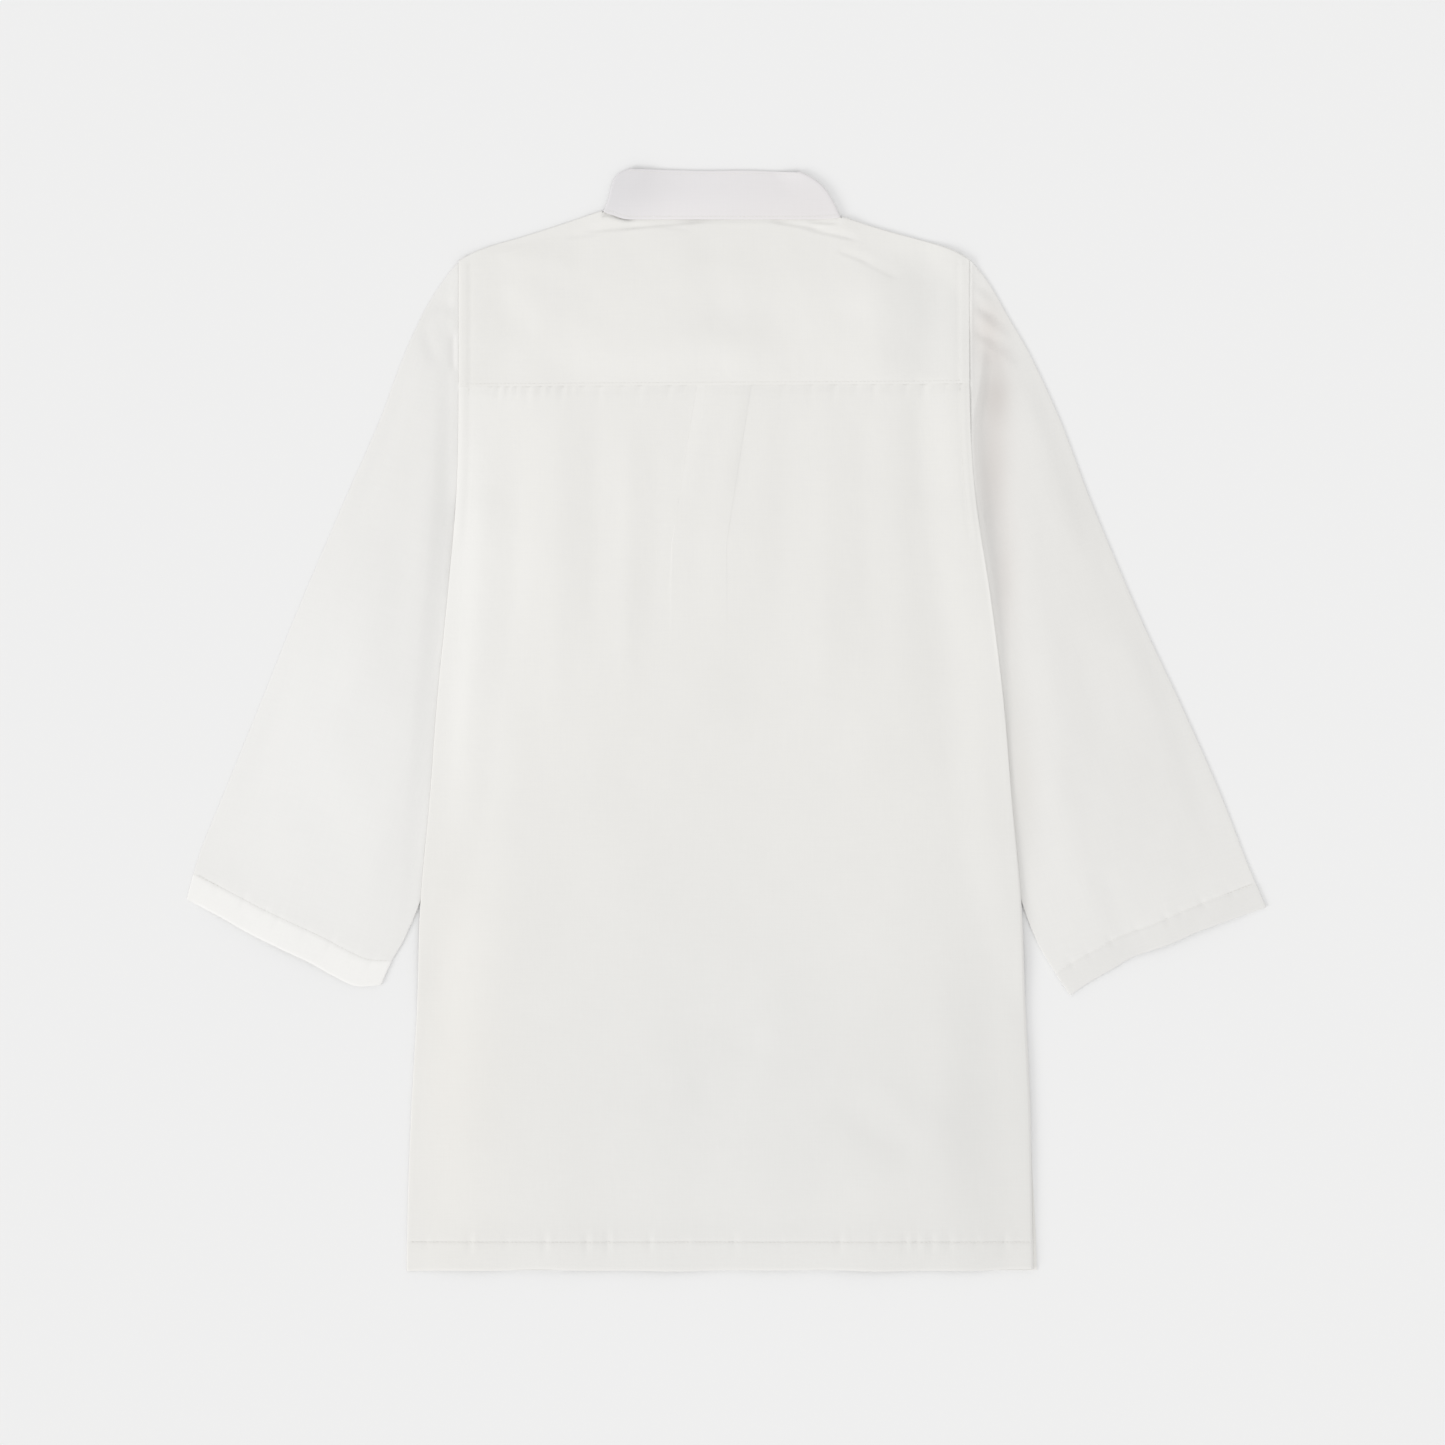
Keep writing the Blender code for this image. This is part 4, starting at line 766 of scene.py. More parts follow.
def apply_modifiers(piece):
    """Give the piece its evaluated mesh, smooth but for its thin edges."""
    graph = bpy.context.evaluated_depsgraph_get()
    made = bpy.data.meshes.new_from_object(piece.evaluated_get(graph))
    old = piece.data
    piece.modifiers.clear()
    piece.data = made
    bpy.data.meshes.remove(old)
    made.name = piece.name
    made.shade_smooth()
    made.set_sharp_from_angle(angle=MOST_TURN)


def thick_hem(grid, hem_rows, hem_cloth):
    """Lift the thicker rows of a hem by half of what they have more, and say how thick all are."""
    grid[hem_rows, :, 2] += (hem_cloth - CLOTH) / 2
    return np.where(hem_rows, hem_cloth, CLOTH)[:, None]


# Materials

COTTON_WHITE = (0.800, 0.791, 0.767)
SLEEVE_WHITE = (0.800, 0.793, 0.775)
COLLAR_WHITE = (0.788, 0.770, 0.779)
THREAD_WHITE = (0.82, 0.81, 0.78)
BUTTON_WHITE = (0.86, 0.86, 0.84)
FLOOR_GREY = (0.84, 0.84, 0.84)
THREAD_PITCH = 0.00055
TWIST_PITCH = 0.0004
SLUB_LONG = 0.030
SLUB_WIDE = 0.0011
SLUB_TONE = 0.024
CLOUD_TONE = 0.030
CRINKLE_HEIGHT = 0.0006
SLUB_HEIGHT = 0.00008
WEAVE_HEIGHT = 0.00012
TWIST_HEIGHT = 0.00005
GRAIN_HEIGHT = 0.0001
WAVE_TURNS = 20.0


def waves(pitch):
    """The scale at which a wave texture has one band to each pitch."""
    return math.tau / WAVE_TURNS / pitch


def fill(node, *values, **settings):
    """Set a node's properties and inputs by name, then its inputs in order.

    A name has _ where an input's name has a space. A value that is a socket is linked.
    """
    for key, value in (*settings.items(), *enumerate(values)):
        place = key.replace("_", " ") if key in settings else key
        if key in settings and place not in node.inputs:
            setattr(node, key, value)
        elif isinstance(value, bpy.types.NodeSocket):
            node.id_data.links.new(value, node.inputs[place])
        else:
            node.inputs[place].default_value = value


def add_node(tree, kind, output, *values, **settings):
    """Add a shader node, and give back the output that is used of it."""
    node = tree.nodes.new("ShaderNode" + kind)
    fill(node, *values, **settings)
    return node.outputs[output]


def new_material(name):
    """A material, its shader, and a function that adds nodes to it."""
    material = bpy.data.materials.new(name)
    material.use_nodes = True
    tree = material.node_tree
    return material, tree.nodes["Principled BSDF"], partial(add_node, tree)


def tinted(add, texture, colour, dark):
    """A colour that a texture makes a little darker in places."""
    darker = [part * dark for part in colour]
    return add("Mix", "Result", data_type="RGBA", A=(*darker, 1.0), B=(*colour, 1.0), Factor=texture)


def cotton(name, colour, turn=0.0, weave=0.22, crinkle=0.30):
    """Plain woven cotton: threads both ways, slubs, soft crinkles and an uneven white."""
    material, shader, add = new_material(name)
    place = add("TexCoord", "Object")
    turned = add("Mapping", "Vector", Vector=place, Rotation=(0.0, 0.0, turn))
    threads = []
    for way in ("X", "Y"):
        threads.append(add("TexWave", "Fac", wave_type="BANDS", bands_direction=way, Vector=turned,
                           Scale=waves(THREAD_PITCH), Distortion=0.6, Detail=1.0))
    weaving = add("Math", "Value", *threads, operation="MULTIPLY")
    slubs = []
    for long_x, long_y in ((SLUB_LONG, SLUB_WIDE), (SLUB_WIDE, SLUB_LONG)):
        stretched = add("Mapping", "Vector", Vector=turned, Scale=(1.0 / long_x, 1.0 / long_y, 1.0))
        slubs.append(add("TexNoise", "Fac", Vector=stretched, Scale=1.0, Detail=2.0, Roughness=0.55))
    slubbing = add("Math", "Value", *slubs, operation="ADD")

    cloud = add("TexNoise", "Fac", Vector=place, Scale=14.0, Detail=3.0, Roughness=0.5)
    level = add("Math", "Value", slubbing, SLUB_TONE, 1.0 - SLUB_TONE, operation="MULTIPLY_ADD")
    level = add("Math", "Value", cloud, CLOUD_TONE, level, operation="MULTIPLY_ADD")
    level = add("Math", "Value", level, CLOUD_TONE / 2, operation="SUBTRACT")
    # The pieces' tone attribute brings in the painted light, shade and shadow of the zones
    tone = add("Attribute", "Vector", attribute_name="tone")
    shade = add("VectorMath", "Vector", level, tone, operation="ADD")
    coloured = add("VectorMath", "Vector", colour, shade, operation="MULTIPLY")

    crinkles = add("TexNoise", "Fac", Vector=place, Scale=55.0, Detail=4.0, Roughness=0.55, Distortion=0.7)
    normal = add("Bump", "Normal", Strength=crinkle, Distance=CRINKLE_HEIGHT, Height=crinkles)
    normal = add("Bump", "Normal", Strength=0.25, Distance=SLUB_HEIGHT, Height=slubbing, Normal=normal)
    normal = add("Bump", "Normal", Strength=weave, Distance=WEAVE_HEIGHT, Height=weaving, Normal=normal)
    fill(shader, Base_Color=coloured, Normal=normal, Roughness=0.88, Specular_IOR_Level=0.25,
         Sheen_Weight=0.12, Sheen_Roughness=0.45)
    return material


def thread_material():
    """Spun cotton sewing thread with a twist along it."""
    material, shader, add = new_material("thread")
    twist = add("TexWave", "Fac", wave_type="BANDS", bands_direction="DIAGONAL",
                Vector=add("TexCoord", "Object"), Scale=waves(TWIST_PITCH))
    normal = add("Bump", "Normal", Strength=0.4, Distance=TWIST_HEIGHT, Height=twist)
    fill(shader, Base_Color=tinted(add, twist, THREAD_WHITE, dark=0.93), Normal=normal, Roughness=0.7,
         Sheen_Weight=0.2)
    return material


def button_material():
    """Moulded white plastic with faint swirls."""
    material, shader, add = new_material("button_plastic")
    swirl = add("TexNoise", "Fac", Vector=add("TexCoord", "Object"), Scale=260.0, Detail=3.0,
                Distortion=1.5)
    fill(shader, Base_Color=tinted(add, swirl, BUTTON_WHITE, dark=0.95), Roughness=0.3, Coat_Weight=0.3)
    return material


def floor_material():
    """Matt pale paper."""
    material, shader, add = new_material("floor_paper")
    grain = add("TexNoise", "Fac", Vector=add("TexCoord", "Object"), Scale=900.0, Detail=2.0)
    normal = add("Bump", "Normal", Strength=0.03, Distance=GRAIN_HEIGHT, Height=grain)
    fill(shader, Base_Color=(*FLOOR_GREY, 1.0), Normal=normal, Roughness=0.95, Specular_IOR_Level=0.1)
    return material


# The back panel, with its box pleat and gathers

SEAM_CLOTH = 0.2
SEAM_THICKENS = Ramp(2.0, 6.0)
SEAM_TUCK = 0.36
SEAM_TUCK_FADE = Ramp(-1.0, 9.0)
SEAM_TILT_RUN = 90.0
GATHERS = 0.7
GATHERS_START = Ramp(-4.0, 5.0)
SIDE_CALM = Ramp(0.0, 27.0)
HEM_CALM = Ramp(HEM, 40.0)
YOKE_TAKES_OVER = Ramp(-12.0, 24.0)
HEM_GROOVE = Groove(0.18, 1.5)
HEM_EDGE = 0.5
HEM_EDGE_UP = Ramp(0.0, 1.6)
HEM_PUCKERS_UP = Ramp(0.0, 6.0)
# Waves of the hem's outline: how high, how long and where in their turn they start
HEM_WAVES = [(0.5, 31.0, 0.0), (0.35, 12.3, 1.0)]
HEM_WAVES_FADE = Ramp(0.0, 30.0)
FOLD_STEPS = 6
COLUMN_PITCH = 2.1
EDGE_STEP = 0.6
ROW_PITCH = 4.6
HEM_ROWS = [0.0, 0.4, 0.9, 1.6, 3.0, 6.0, 9.5, 13.0, 16.0, 18.5, 20.4, 21.6, 22.6, 23.6, 24.8, 26.6,
            29.0, 32.0, 36.0]
SEAM_ROWS = [30.0, 26.2, 22.4, 19.0, 16.0, 13.2, 10.8, 8.6, 6.7, 5.0, 3.5, 2.4, 1.5, 0.7, 0.0, -1.2,
             -2.5, -4.0]


def pleat_step(side, below):
    """How far the pleat's centre stands above the cloth beside it, at one of its folds."""
    return PLEAT_STEPS[side] * down(below, PLEAT_FADING)


def pleat_path(side, below):
    """One fold of the pleat, from the cloth beside it up to its centre: x and rise.

    The cloth turns one way, runs straight, and turns back by the same angle. A half turn
    makes a pressed fold with its layers under the centre. Further down the turn is less,
    until the fold is only a soft slope.
    """
    below = max(below, 0.0)
    opening = up(below, PLEAT_OPENING) ** 0.5
    turn = math.radians(mix(180.0, PLEAT_FLATTEST, opening))
    step = PLEAT_STEPS[side]
    radius = step * mix(1.0, PLEAT_TIGHTEST, opening) / (2.0 * (1.0 - math.cos(turn)))
    straight = PLEAT_STRAIGHT + PLEAT_DEPTH * max(1.0 - below / PLEAT_CLOSED, 0.0)
    if opening > 0.0:
        straight = (step - 2.0 * radius * (1.0 - math.cos(turn))) / math.sin(turn)
        straight = max(straight, PLEAT_STRAIGHT)
    angles = turn * np.arange(FOLD_STEPS + 1) / FOLD_STEPS
    first = np.stack((radius * np.sin(angles), radius * (1.0 - np.cos(angles))), -1)
    start = first[-1] + np.array((straight * math.cos(turn), straight * math.sin(turn)))
    second = start + first[-1] - first[::-1]
    run, rise = np.concatenate((first, second)).T
    fold = PLEAT_FOLDS[side].at_seam
    fold += PLEAT_FOLDS[side].drift * min(below / PLEAT_CLOSED, PLEAT_DRIFT_END)
    return fold - OUTWARD[side] * (run - run[-1]), rise * pleat_step(side, below) / rise[-1]


def body_relief(x, y):
    """The soft folds of back and yoke, which run on into each other over the seam between them."""
    back = relief(BACK_CREASES, x, y) + unevenness(BACK_SLOW, x, y)
    back = back + unevenness(BACK_FINE, x, y) * up(y, HEM_CALM)
    yoke = relief(YOKE_CREASES, x, y) + unevenness(YOKE_SLOW, x, y)
    yoke = yoke + unevenness(YOKE_FINE, x, y) - pinches(NECK_PINCHES, x, y)
    return mix(back, yoke, up(y - seam_height(x), YOKE_TAKES_OVER)) * up(inside_edge(x, y), SIDE_CALM)


def body_surface(x, y):
    """Middle of the cloth of back and yoke with their folds, but without pleat and puckers."""
    return back_level(x, y) + body_relief(x, y) + armhole_ridge(x, y)


def back_surface(x, y):
    return body_surface(x, y) - groove(y - HEM, HEM_GROOVE) - HEM_EDGE * down(y, HEM_EDGE_UP)


def columns(*parts):
    """Columns side by side: x, rise, the place where gathers start, and the thickness."""
    return np.concatenate([np.array(np.broadcast_arrays(*part)) for part in parts], axis=1)


def back_columns(height, below):
    """One row of the back panel, from its left edge to its right."""
    pressed = mix(PLEAT_CLOTH, CLOTH, up(below, PLEAT_OPENING))
    folds = [pleat_path(side, below) for side in SIDES]
    halves = []
    for side, (across, rise) in zip(SIDES, folds):
        outward = OUTWARD[side]
        edge = body_edge(side, height)
        roll, drop = rolled_edge(edge_roll(side, height))
        base = outward * (max(outward * across[0], outward * across[-1]) + PLEAT_BESIDE)
        base_at_seam = PLEAT_FOLDS[side].at_seam + outward * PLEAT_BESIDE
        edge_at_seam = body_edge(side, YOKE_SEAM)
        count = int(abs(edge_at_seam - base_at_seam) / COLUMN_PITCH)
        share = (np.arange(count) + 1.0) / count
        flat = mix(edge - outward * (roll[-1] + EDGE_STEP), base, share)
        thin = mix(pressed, CLOTH, up(abs(flat - base), PLEAT_PRESSED))
        halves.append(columns((edge - outward * roll, -drop, FAR, CLOTH),
                              (flat, 0.0, mix(edge_at_seam, base_at_seam, share), thin),
                              (across, rise, FAR, pressed)))
    steps = [pleat_step(side, below) for side in SIDES]
    middle = np.linspace(folds[0][0][-1] + PLEAT_FIRM, folds[1][0][-1] - PLEAT_FIRM, PLEAT_COLUMNS)
    sag = PLEAT_SAG * steps[0] / PLEAT_STEPS["left"] * np.sin(np.linspace(0.0, math.pi, PLEAT_COLUMNS))
    centre = columns((middle, np.linspace(*steps, PLEAT_COLUMNS) - sag, FAR, pressed))
    return np.concatenate((halves[0], centre, halves[1][:, ::-1]), axis=1)


def back_heights():
    """The rows of the back panel: close together at the hem's stitches and at the yoke seam."""
    start = HEM_ROWS[-1]
    end = YOKE_SEAM - SEAM_ROWS[0]
    steps = round((end - start) / ROW_PITCH)
    middle = [mix(start, end, k / steps) for k in range(1, steps)]
    return HEM_ROWS + middle + [YOKE_SEAM - below for below in SEAM_ROWS]


def build_back_panel():
    grid, tones, thickness = [], [], []
    for height in back_heights():
        below = YOKE_SEAM - height
        x, rise, place, thick = back_columns(height, below)
        thick = np.minimum(thick, mix(SEAM_CLOTH, CLOTH, up(below, SEAM_THICKENS)))
        thickness.append(np.full(len(x), HEM_CLOTH) if height < HEM else thick)
        y = height + YOKE_SEAM_TILT * x * smooth(1.0 - below / SEAM_TILT_RUN)
        z = back_surface(x, y) + rise - SEAM_TUCK * down(below, SEAM_TUCK_FADE)
        z = z - GATHERS * seam_puckers(YOKE_PUCKERS, place, max(below, 0.0)) * up(below, GATHERS_START)
        z = z - seam_puckers(HEM_PUCKERS, x, height - HEM) * up(height, HEM_PUCKERS_UP)
        wave = sum(high * np.sin(x / long + phase) for high, long, phase in HEM_WAVES)
        y = y + wave * down(height, HEM_WAVES_FADE)
        grid.append(grid_points(x, y, z))
        hem = HEM_TONE * down(height, HEM_TONE_END)
        tones.append(zones(BACK_ZONES, x, y) + edge_painted_highlight(x, y) + hem)
    return shell("back_panel_cloth", np.array(grid), np.array(thickness), tone=np.array(tones))


# The yoke: up the back, over the shoulder line and a short way down the front

ARMHOLE = {side: MOUTH[side] - OUTWARD[side] * MOUTH_GAP for side in SIDES}
NECK_EDGE = {side: NECK[side][0] + OUTWARD[side] * SEAM for side in SIDES}
YOKE_EDGE_DROP = 0.12
YOKE_EDGE_UP = Ramp(0.0, 1.6)
YOKE_STITCH = 2.2
YOKE_GROOVE = Groove(0.08, 0.8)
YOKE_EDGE_STEP = 1.2
YOKE_LAP_PITCH = 1.6
YOKE_NECK_UP = 1.5
YOKE_ROWS = np.array([0.0, 0.3, 0.7, 1.2, 1.7, 2.2, 2.7, 3.4, 4.6, 6.4, 9.0])
YOKE_SHARES = np.concatenate((np.linspace(0.0, 0.68, 42)[1:], np.linspace(0.68, 1.0, 48)[1:]))
YOKE_SETTLES = Ramp(0.92, 0.08)
YOKE_TURNS = np.radians(np.linspace(20.0, 160.0, 8))
YOKE_LAP_TURNS = 4
YOKE_FRONT_ROWS = 7


def back_neck(x):
    """The yoke's neck edge across the back: level, and up to the shoulders at its ends."""
    left = smooth(1.0 - (x - NECK["left"][0]) / BACK_NECK_CORNER)
    right = smooth(1.0 - (NECK["right"][0] - x) / BACK_NECK_CORNER)
    return BACK_NECK + (NECK["left"][1] - BACK_NECK) * left + (NECK["right"][1] - BACK_NECK) * right


def yoke_surface(x, y):
    above = y - seam_height(x)
    stitched = groove(above - YOKE_STITCH, YOKE_GROOVE)
    return body_surface(x, y) - YOKE_EDGE_DROP * down(above, YOKE_EDGE_UP) - stitched


def yoke_columns():
    """The yoke's columns from its left edge: their x, how far each is down at the rolled edges,
    and the last column of each stretch.
    """
    roll, drop = rolled_edge(ARMHOLE_ROLL)
    left, right = [body_edge(side, YOKE_ARMHOLE) for side in SIDES]
    step = roll[-1] + YOKE_EDGE_STEP
    stops = [left + step, ARMHOLE["left"], NECK_EDGE["left"], NECK_EDGE["right"], ARMHOLE["right"],
             right - step]
    x = [*(left + roll), stops[0]]
    lasts = []
    for start, end in zip(stops, stops[1:]):
        pitch = YOKE_LAP_PITCH if stops[0] == start or stops[-1] == end else COLUMN_PITCH
        count = max(int(abs(end - start) / pitch), 1)
        x += list(np.linspace(start, end, count + 1)[1:])
        lasts.append(len(x) - 1)
    x = np.array(x + list(right - roll[::-1]))
    edge_drop = np.zeros(len(x))
    edge_drop[:len(drop)] = drop
    edge_drop[-len(drop):] = drop[::-1]
    return x, edge_drop, lasts


def yoke_on_front(x, top):
    """The yoke's rows on the front, which draw in beside the neckline."""
    low = np.linspace(0.0, YOKE_FRONT, YOKE_FRONT_ROWS)[:, None]
    shift = 0.0
    for side in SIDES:
        start = NECK[side]
        point = bezier(front_neck(side), neck_share(side, 1, start[1] - low))
        share = np.clip((x - ARMHOLE[side]) / (NECK_EDGE[side] - ARMHOLE[side]), 0.0, 1.0)
        shift = np.where((x < 0.0) == (side == "left"), (point[..., 0] - start[0]) * share, shift)
    return grid_points(x + shift, top - low, TABLE)


def build_back_yoke():
    x, edge_drop, (lap_left, neck_left, neck_right, lap_right, _) = yoke_columns()
    column = np.arange(len(x))
    is_neck = (column > neck_left) & (column < neck_right)
    rough_top = np.where(is_neck, back_neck(x), shoulder_line(x))
    top_level = back_level(x, rough_top)
    radius = np.where(is_neck, 0.0, (top_level - TABLE) / 2)
    top = np.where(is_neck, back_neck(x) + YOKE_NECK_UP, rough_top - radius - CLOTH / 2)
    near = seam_height(x) + YOKE_ROWS[:, None]
    y = np.concatenate((near, mix(near[-1], top, YOKE_SHARES[:, None])))
    share = np.concatenate((np.zeros(len(near)), YOKE_SHARES))[:, None]
    z = yoke_surface(x, y)
    settled = mix(z, top_level, up(share, YOKE_SETTLES))
    z = np.where(is_neck, z - NECK_DIP * up(share, NECK_DIP_UP), settled)
    back = grid_points(x, y, z - edge_drop)
    turns = YOKE_TURNS[:, None]
    turned = top_level - radius * (1.0 - np.cos(turns))
    over = grid_points(x, top + radius * np.sin(turns), turned - edge_drop)
    grid = np.concatenate((back, over, yoke_on_front(x, top)))
    tones = np.zeros(grid.shape)
    tones[:len(back)] = zones(YOKE_ZONES, x, y) + edge_painted_highlight(x, y)
    thin = smooth(np.arange(len(grid)) / (len(near) - 2.0))

    cell_row = np.arange(len(grid) - 1)[:, None]
    on_neck = (column[:-1] >= neck_left) & (column[:-1] < neck_right)
    on_lap = (column[:-1] < lap_left) | (column[:-1] >= lap_right)
    on_back = cell_row < len(back) - 1
    before_half_turn = cell_row < len(back) + YOKE_LAP_TURNS
    keep = on_back | ~(on_neck | on_lap) | (on_lap & before_half_turn)
    thickness = mix(SEAM_CLOTH, CLOTH, thin)[:, None]
    return shell("back_yoke_cloth", grid, thickness, keep=keep, tone=tones)


# The front panel, with its slot for the neck opening

FRONT_HEIGHTS = np.concatenate(([0.0, 1.5, 10.0, 20.0, HEM, 25.0], np.linspace(32.0, SLOT_FOOT, 70),
                                np.linspace(SLOT_FOOT, UNDERARM - 1.5, 12)[1:],
                                [UNDERARM + 1.5, 608.0, 617.0, 630.0, 640.0]))
FRONT_TOP_SHARES = np.linspace(0.0, 1.0, 26)[1:, None]
FRONT_COLUMNS = 30
FRONT_NECK_COLUMNS = 14


def front_corner(side):
    """Where the yoke's front seam meets the neckline."""
    share = neck_share(side, 1, NECK[side][1] - YOKE_FRONT)
    return bezier(front_neck(side), share)[0] + OUTWARD[side] * SEAM


def front_top(side, x):
    """The top edge of the front on one side: the yoke's front seam, then the neckline."""
    outward = OUTWARD[side]
    corner = front_corner(side)
    share = np.clip((x - ARMHOLE[side]) / (corner - ARMHOLE[side]), 0.0, 1.0)
    across = mix(ARMHOLE[side], NECK_EDGE[side], share)
    rough = shoulder_line(across)
    radius = (back_level(across, rough) - TABLE) / 2
    seam = rough - radius - CLOTH / 2 - YOKE_FRONT - YOKE_FRONT_GAP
    neckline = bezier(front_neck(side), neck_share(side, 0, x))[:, 1] - NECKLINE_GAP
    return np.where(outward * x >= outward * corner, seam, neckline)


def front_half(side):
    """One half of the front, from its edge to the slot, as rows from the hem up."""
    heights = FRONT_HEIGHTS[:, None]
    corner = front_corner(side)
    slot = FRONT_CENTRE + OUTWARD[side] * SLOT_HALF
    places = np.concatenate((np.linspace(ARMHOLE[side], corner, FRONT_COLUMNS),
                             np.linspace(corner, slot, FRONT_NECK_COLUMNS)[1:]))
    edge = np.where(heights > UNDERARM, ARMHOLE[side], body_edge(side, heights))
    if side == "right":
        edge = edge + FRONT_PEEK * down(heights, FRONT_PEEK_FADE)
    x = slot + (places - slot) * (edge - slot) / (ARMHOLE[side] - slot)
    top = mix(FRONT_HEIGHTS[-1], front_top(side, places), FRONT_TOP_SHARES)
    return np.concatenate((grid_points(x, heights, front_level(x, heights)),
                           grid_points(places, top, front_level(places, top))))


def build_front_panel():
    left, right = [front_half(side) for side in SIDES]
    grid = np.concatenate((left, right[:, ::-1]), axis=1)
    cell_row = np.arange(len(grid) - 1)[:, None]
    cell_column = np.arange(grid.shape[1] - 1)[None, :]
    in_slot = (cell_column == left.shape[1] - 1) & (cell_row >= np.searchsorted(FRONT_HEIGHTS, SLOT_FOOT))
    hem_rows = np.arange(len(grid)) < np.searchsorted(FRONT_HEIGHTS, HEM)
    return shell("front_panel_cloth", grid, thick_hem(grid, hem_rows, HEM_CLOTH), keep=~in_slot)


# The sleeves

SLEEVE_TURNS = np.radians(np.linspace(0.0, 180.0, 9)[1:-1])
LOW_STEPS = 24
HIGH_STEPS = 84
CUFF_ZONE = 30.0
CUFF_ROWS = [0.0, 0.4, 0.9, 1.6, 3.0, 6.0, 9.5, 13.0, 16.0, 18.4, 19.8, 21.0, 22.2, 23.8, 26.0]
SLEEVE_SHARES = [*np.linspace(0.0, 0.93, 118)[1:], *np.linspace(0.93, 1.0, 40)[1:]]
SLEEVE_WALKS = [*CUFF_ROWS, CUFF_ZONE, *[CUFF_ZONE + share for share in SLEEVE_SHARES]]
OUTER_PRESSED = Ramp(0.0, 0.10)
CUFF_PRESSED = Ramp(0.90, 0.05)
BELL_POWER = 0.75
BELL_EDGE = 3.0
BELL_CREASES = 1.8
CREASES_CLEAR = Ramp(0.0, 5.0)
CUFF_CLEAR = Ramp(0.0, 12.0)
CUFF_GATHERS = 0.8
CUFF_GROOVE = Groove(0.3, 1.3)
CUFF_EDGE = 0.35
CUFF_EDGE_UP = Ramp(0.0, 1.4)


def fold_walk(side, edge):
    """Shares up one fold of a sleeve from its cuff, and how far along the fold each lies."""
    shares = np.linspace(1.0, 0.0, FINE_STEPS)
    steps = np.hypot(*np.diff(sleeve_line(side, edge, shares), axis=0).T)
    return shares, np.concatenate(([0.0], np.cumsum(steps)))


def cuff_distance(side, walk, edge="outer"):
    """Millimetres up a fold. Walk is millimetres from the cuff, then a share of the rest."""
    if walk <= CUFF_ZONE:
        return walk
    _, walked = fold_walk(side, edge)
    return mix(CUFF_ZONE, walked[-1], walk - CUFF_ZONE)


def sleeve_frame(side, walk):
    """Where a ring has its outer and its inner fold."""
    shares = {}
    for edge in ("outer", "inner"):
        along, walked = fold_walk(side, edge)
        shares[edge] = np.interp(cuff_distance(side, walk, edge), walked, along)
    return shares


def fold_radius(edge, share):
    """How round a sleeve's fold is: the outer one is pressed flatter away from the shoulder."""
    if edge == "inner":
        return SLEEVE_FOLD
    pressed = mix(OUTER_FOLD, CUFF_FOLD, up(share, CUFF_PRESSED))
    return mix(SLEEVE_FOLD, pressed, up(share, OUTER_PRESSED))


def sleeve_fold(side, shares, edge):
    """A fold's line inside its outline, and the way its cloth bulges, square to the fold."""
    line = partial(sleeve_line, side, edge)
    bulge = unit(to_the_right(heading(line, shares[edge])))
    wanted = OUTWARD[side] if edge == "outer" else -OUTWARD[side]
    if bulge[0] * wanted < 0.0:
        bulge = -bulge
    return line(shares[edge]) - bulge * (fold_radius(edge, shares[edge]) + CLOTH / 2), bulge


def on_layer(side, shares, walk, part):
    """Points across one layer of a sleeve, from its outer fold at part 0 to its inner fold at 1."""
    outer, _ = sleeve_fold(side, shares, "outer")
    inner, _ = sleeve_fold(side, shares, "inner")
    along = inner - outer
    towards_cuff = unit(to_the_right(along)) * -OUTWARD[side]
    bow = follow(CUFF_BOWS, "across", side, part) * down(cuff_distance(side, walk), CUFF_BOW_FADE)
    return outer + along * part[:, None] + towards_cuff * bow[:, None]


def right_drape(beside, x, y):
    """How the right sleeve's cloth hangs from under the body's raised edge."""
    fields = ("rise", "reach", "lip", "start", "run", "swell")
    rise, reach, lip, start, run, swell = [follow(RIGHT_DRAPE, "height", field, y) for field in fields]
    fold = inner_fold("right")
    under = up(x - np.interp(y, fold[:, 1], fold[:, 0]), DRAPE_UNDER)
    hang = rise * (1.0 - smooth(beside / reach)) + lip * down(beside, Ramp(start, run))
    return swell * hump(beside - SWELL_PLACE, SWELL_WIDTH) + hang * under


def cuff_relief(cuff, across, width):
    """The cuff's row of stitches, its edge and its puckers. Cuff is millimetres up the sleeve."""
    stitched = groove(cuff - CUFF_HEM, CUFF_GROOVE) + CUFF_EDGE * down(cuff, CUFF_EDGE_UP)
    puckers = 0.0
    for pucker in CUFF_PUCKERS:
        fade = 1.0 - smooth(abs(cuff - CUFF_HEM) / pucker.run)
        puckers = puckers + pucker.depth * hump((across - pucker.place) * width, pucker.width) * fade
    return -stitched - puckers * CUFF_GATHERS


def sleeve_rise(side, shares, walk, part, x, y):
    """How far the upper layer stands above its pressed folds."""
    bell = np.sin(math.pi * np.clip(part, 0.0, 1.0)) ** BELL_POWER
    beside = OUTWARD[side] * (x - body_edge(side, y))
    crown = follow(SLEEVES[side], "share", "crown", shares["outer"]) * up(beside, CROWN_CLEAR[side])
    held = CAP_RISE * up(y, CAP_HEIGHT) * down(beside, CAP_BESIDE)
    if side == "right":
        held = held + right_drape(beside, x, y)
    creases = relief(SLEEVE_CREASES[side], x, y) * smooth(bell * BELL_CREASES)
    uneven = unevenness(SLEEVE_SLOW[side], x, y) + unevenness(SLEEVE_FINE[side], x, y)
    creases = creases + uneven * bell
    width = math.dist(*[sleeve_line(side, edge, share) for edge, share in shares.items()])
    cuff = cuff_relief(cuff_distance(side, walk), part, width)
    free = creases * up(beside, CREASES_CLEAR) + cuff * up(beside, CUFF_CLEAR)
    return crown * bell + held + free * smooth(bell * BELL_EDGE)


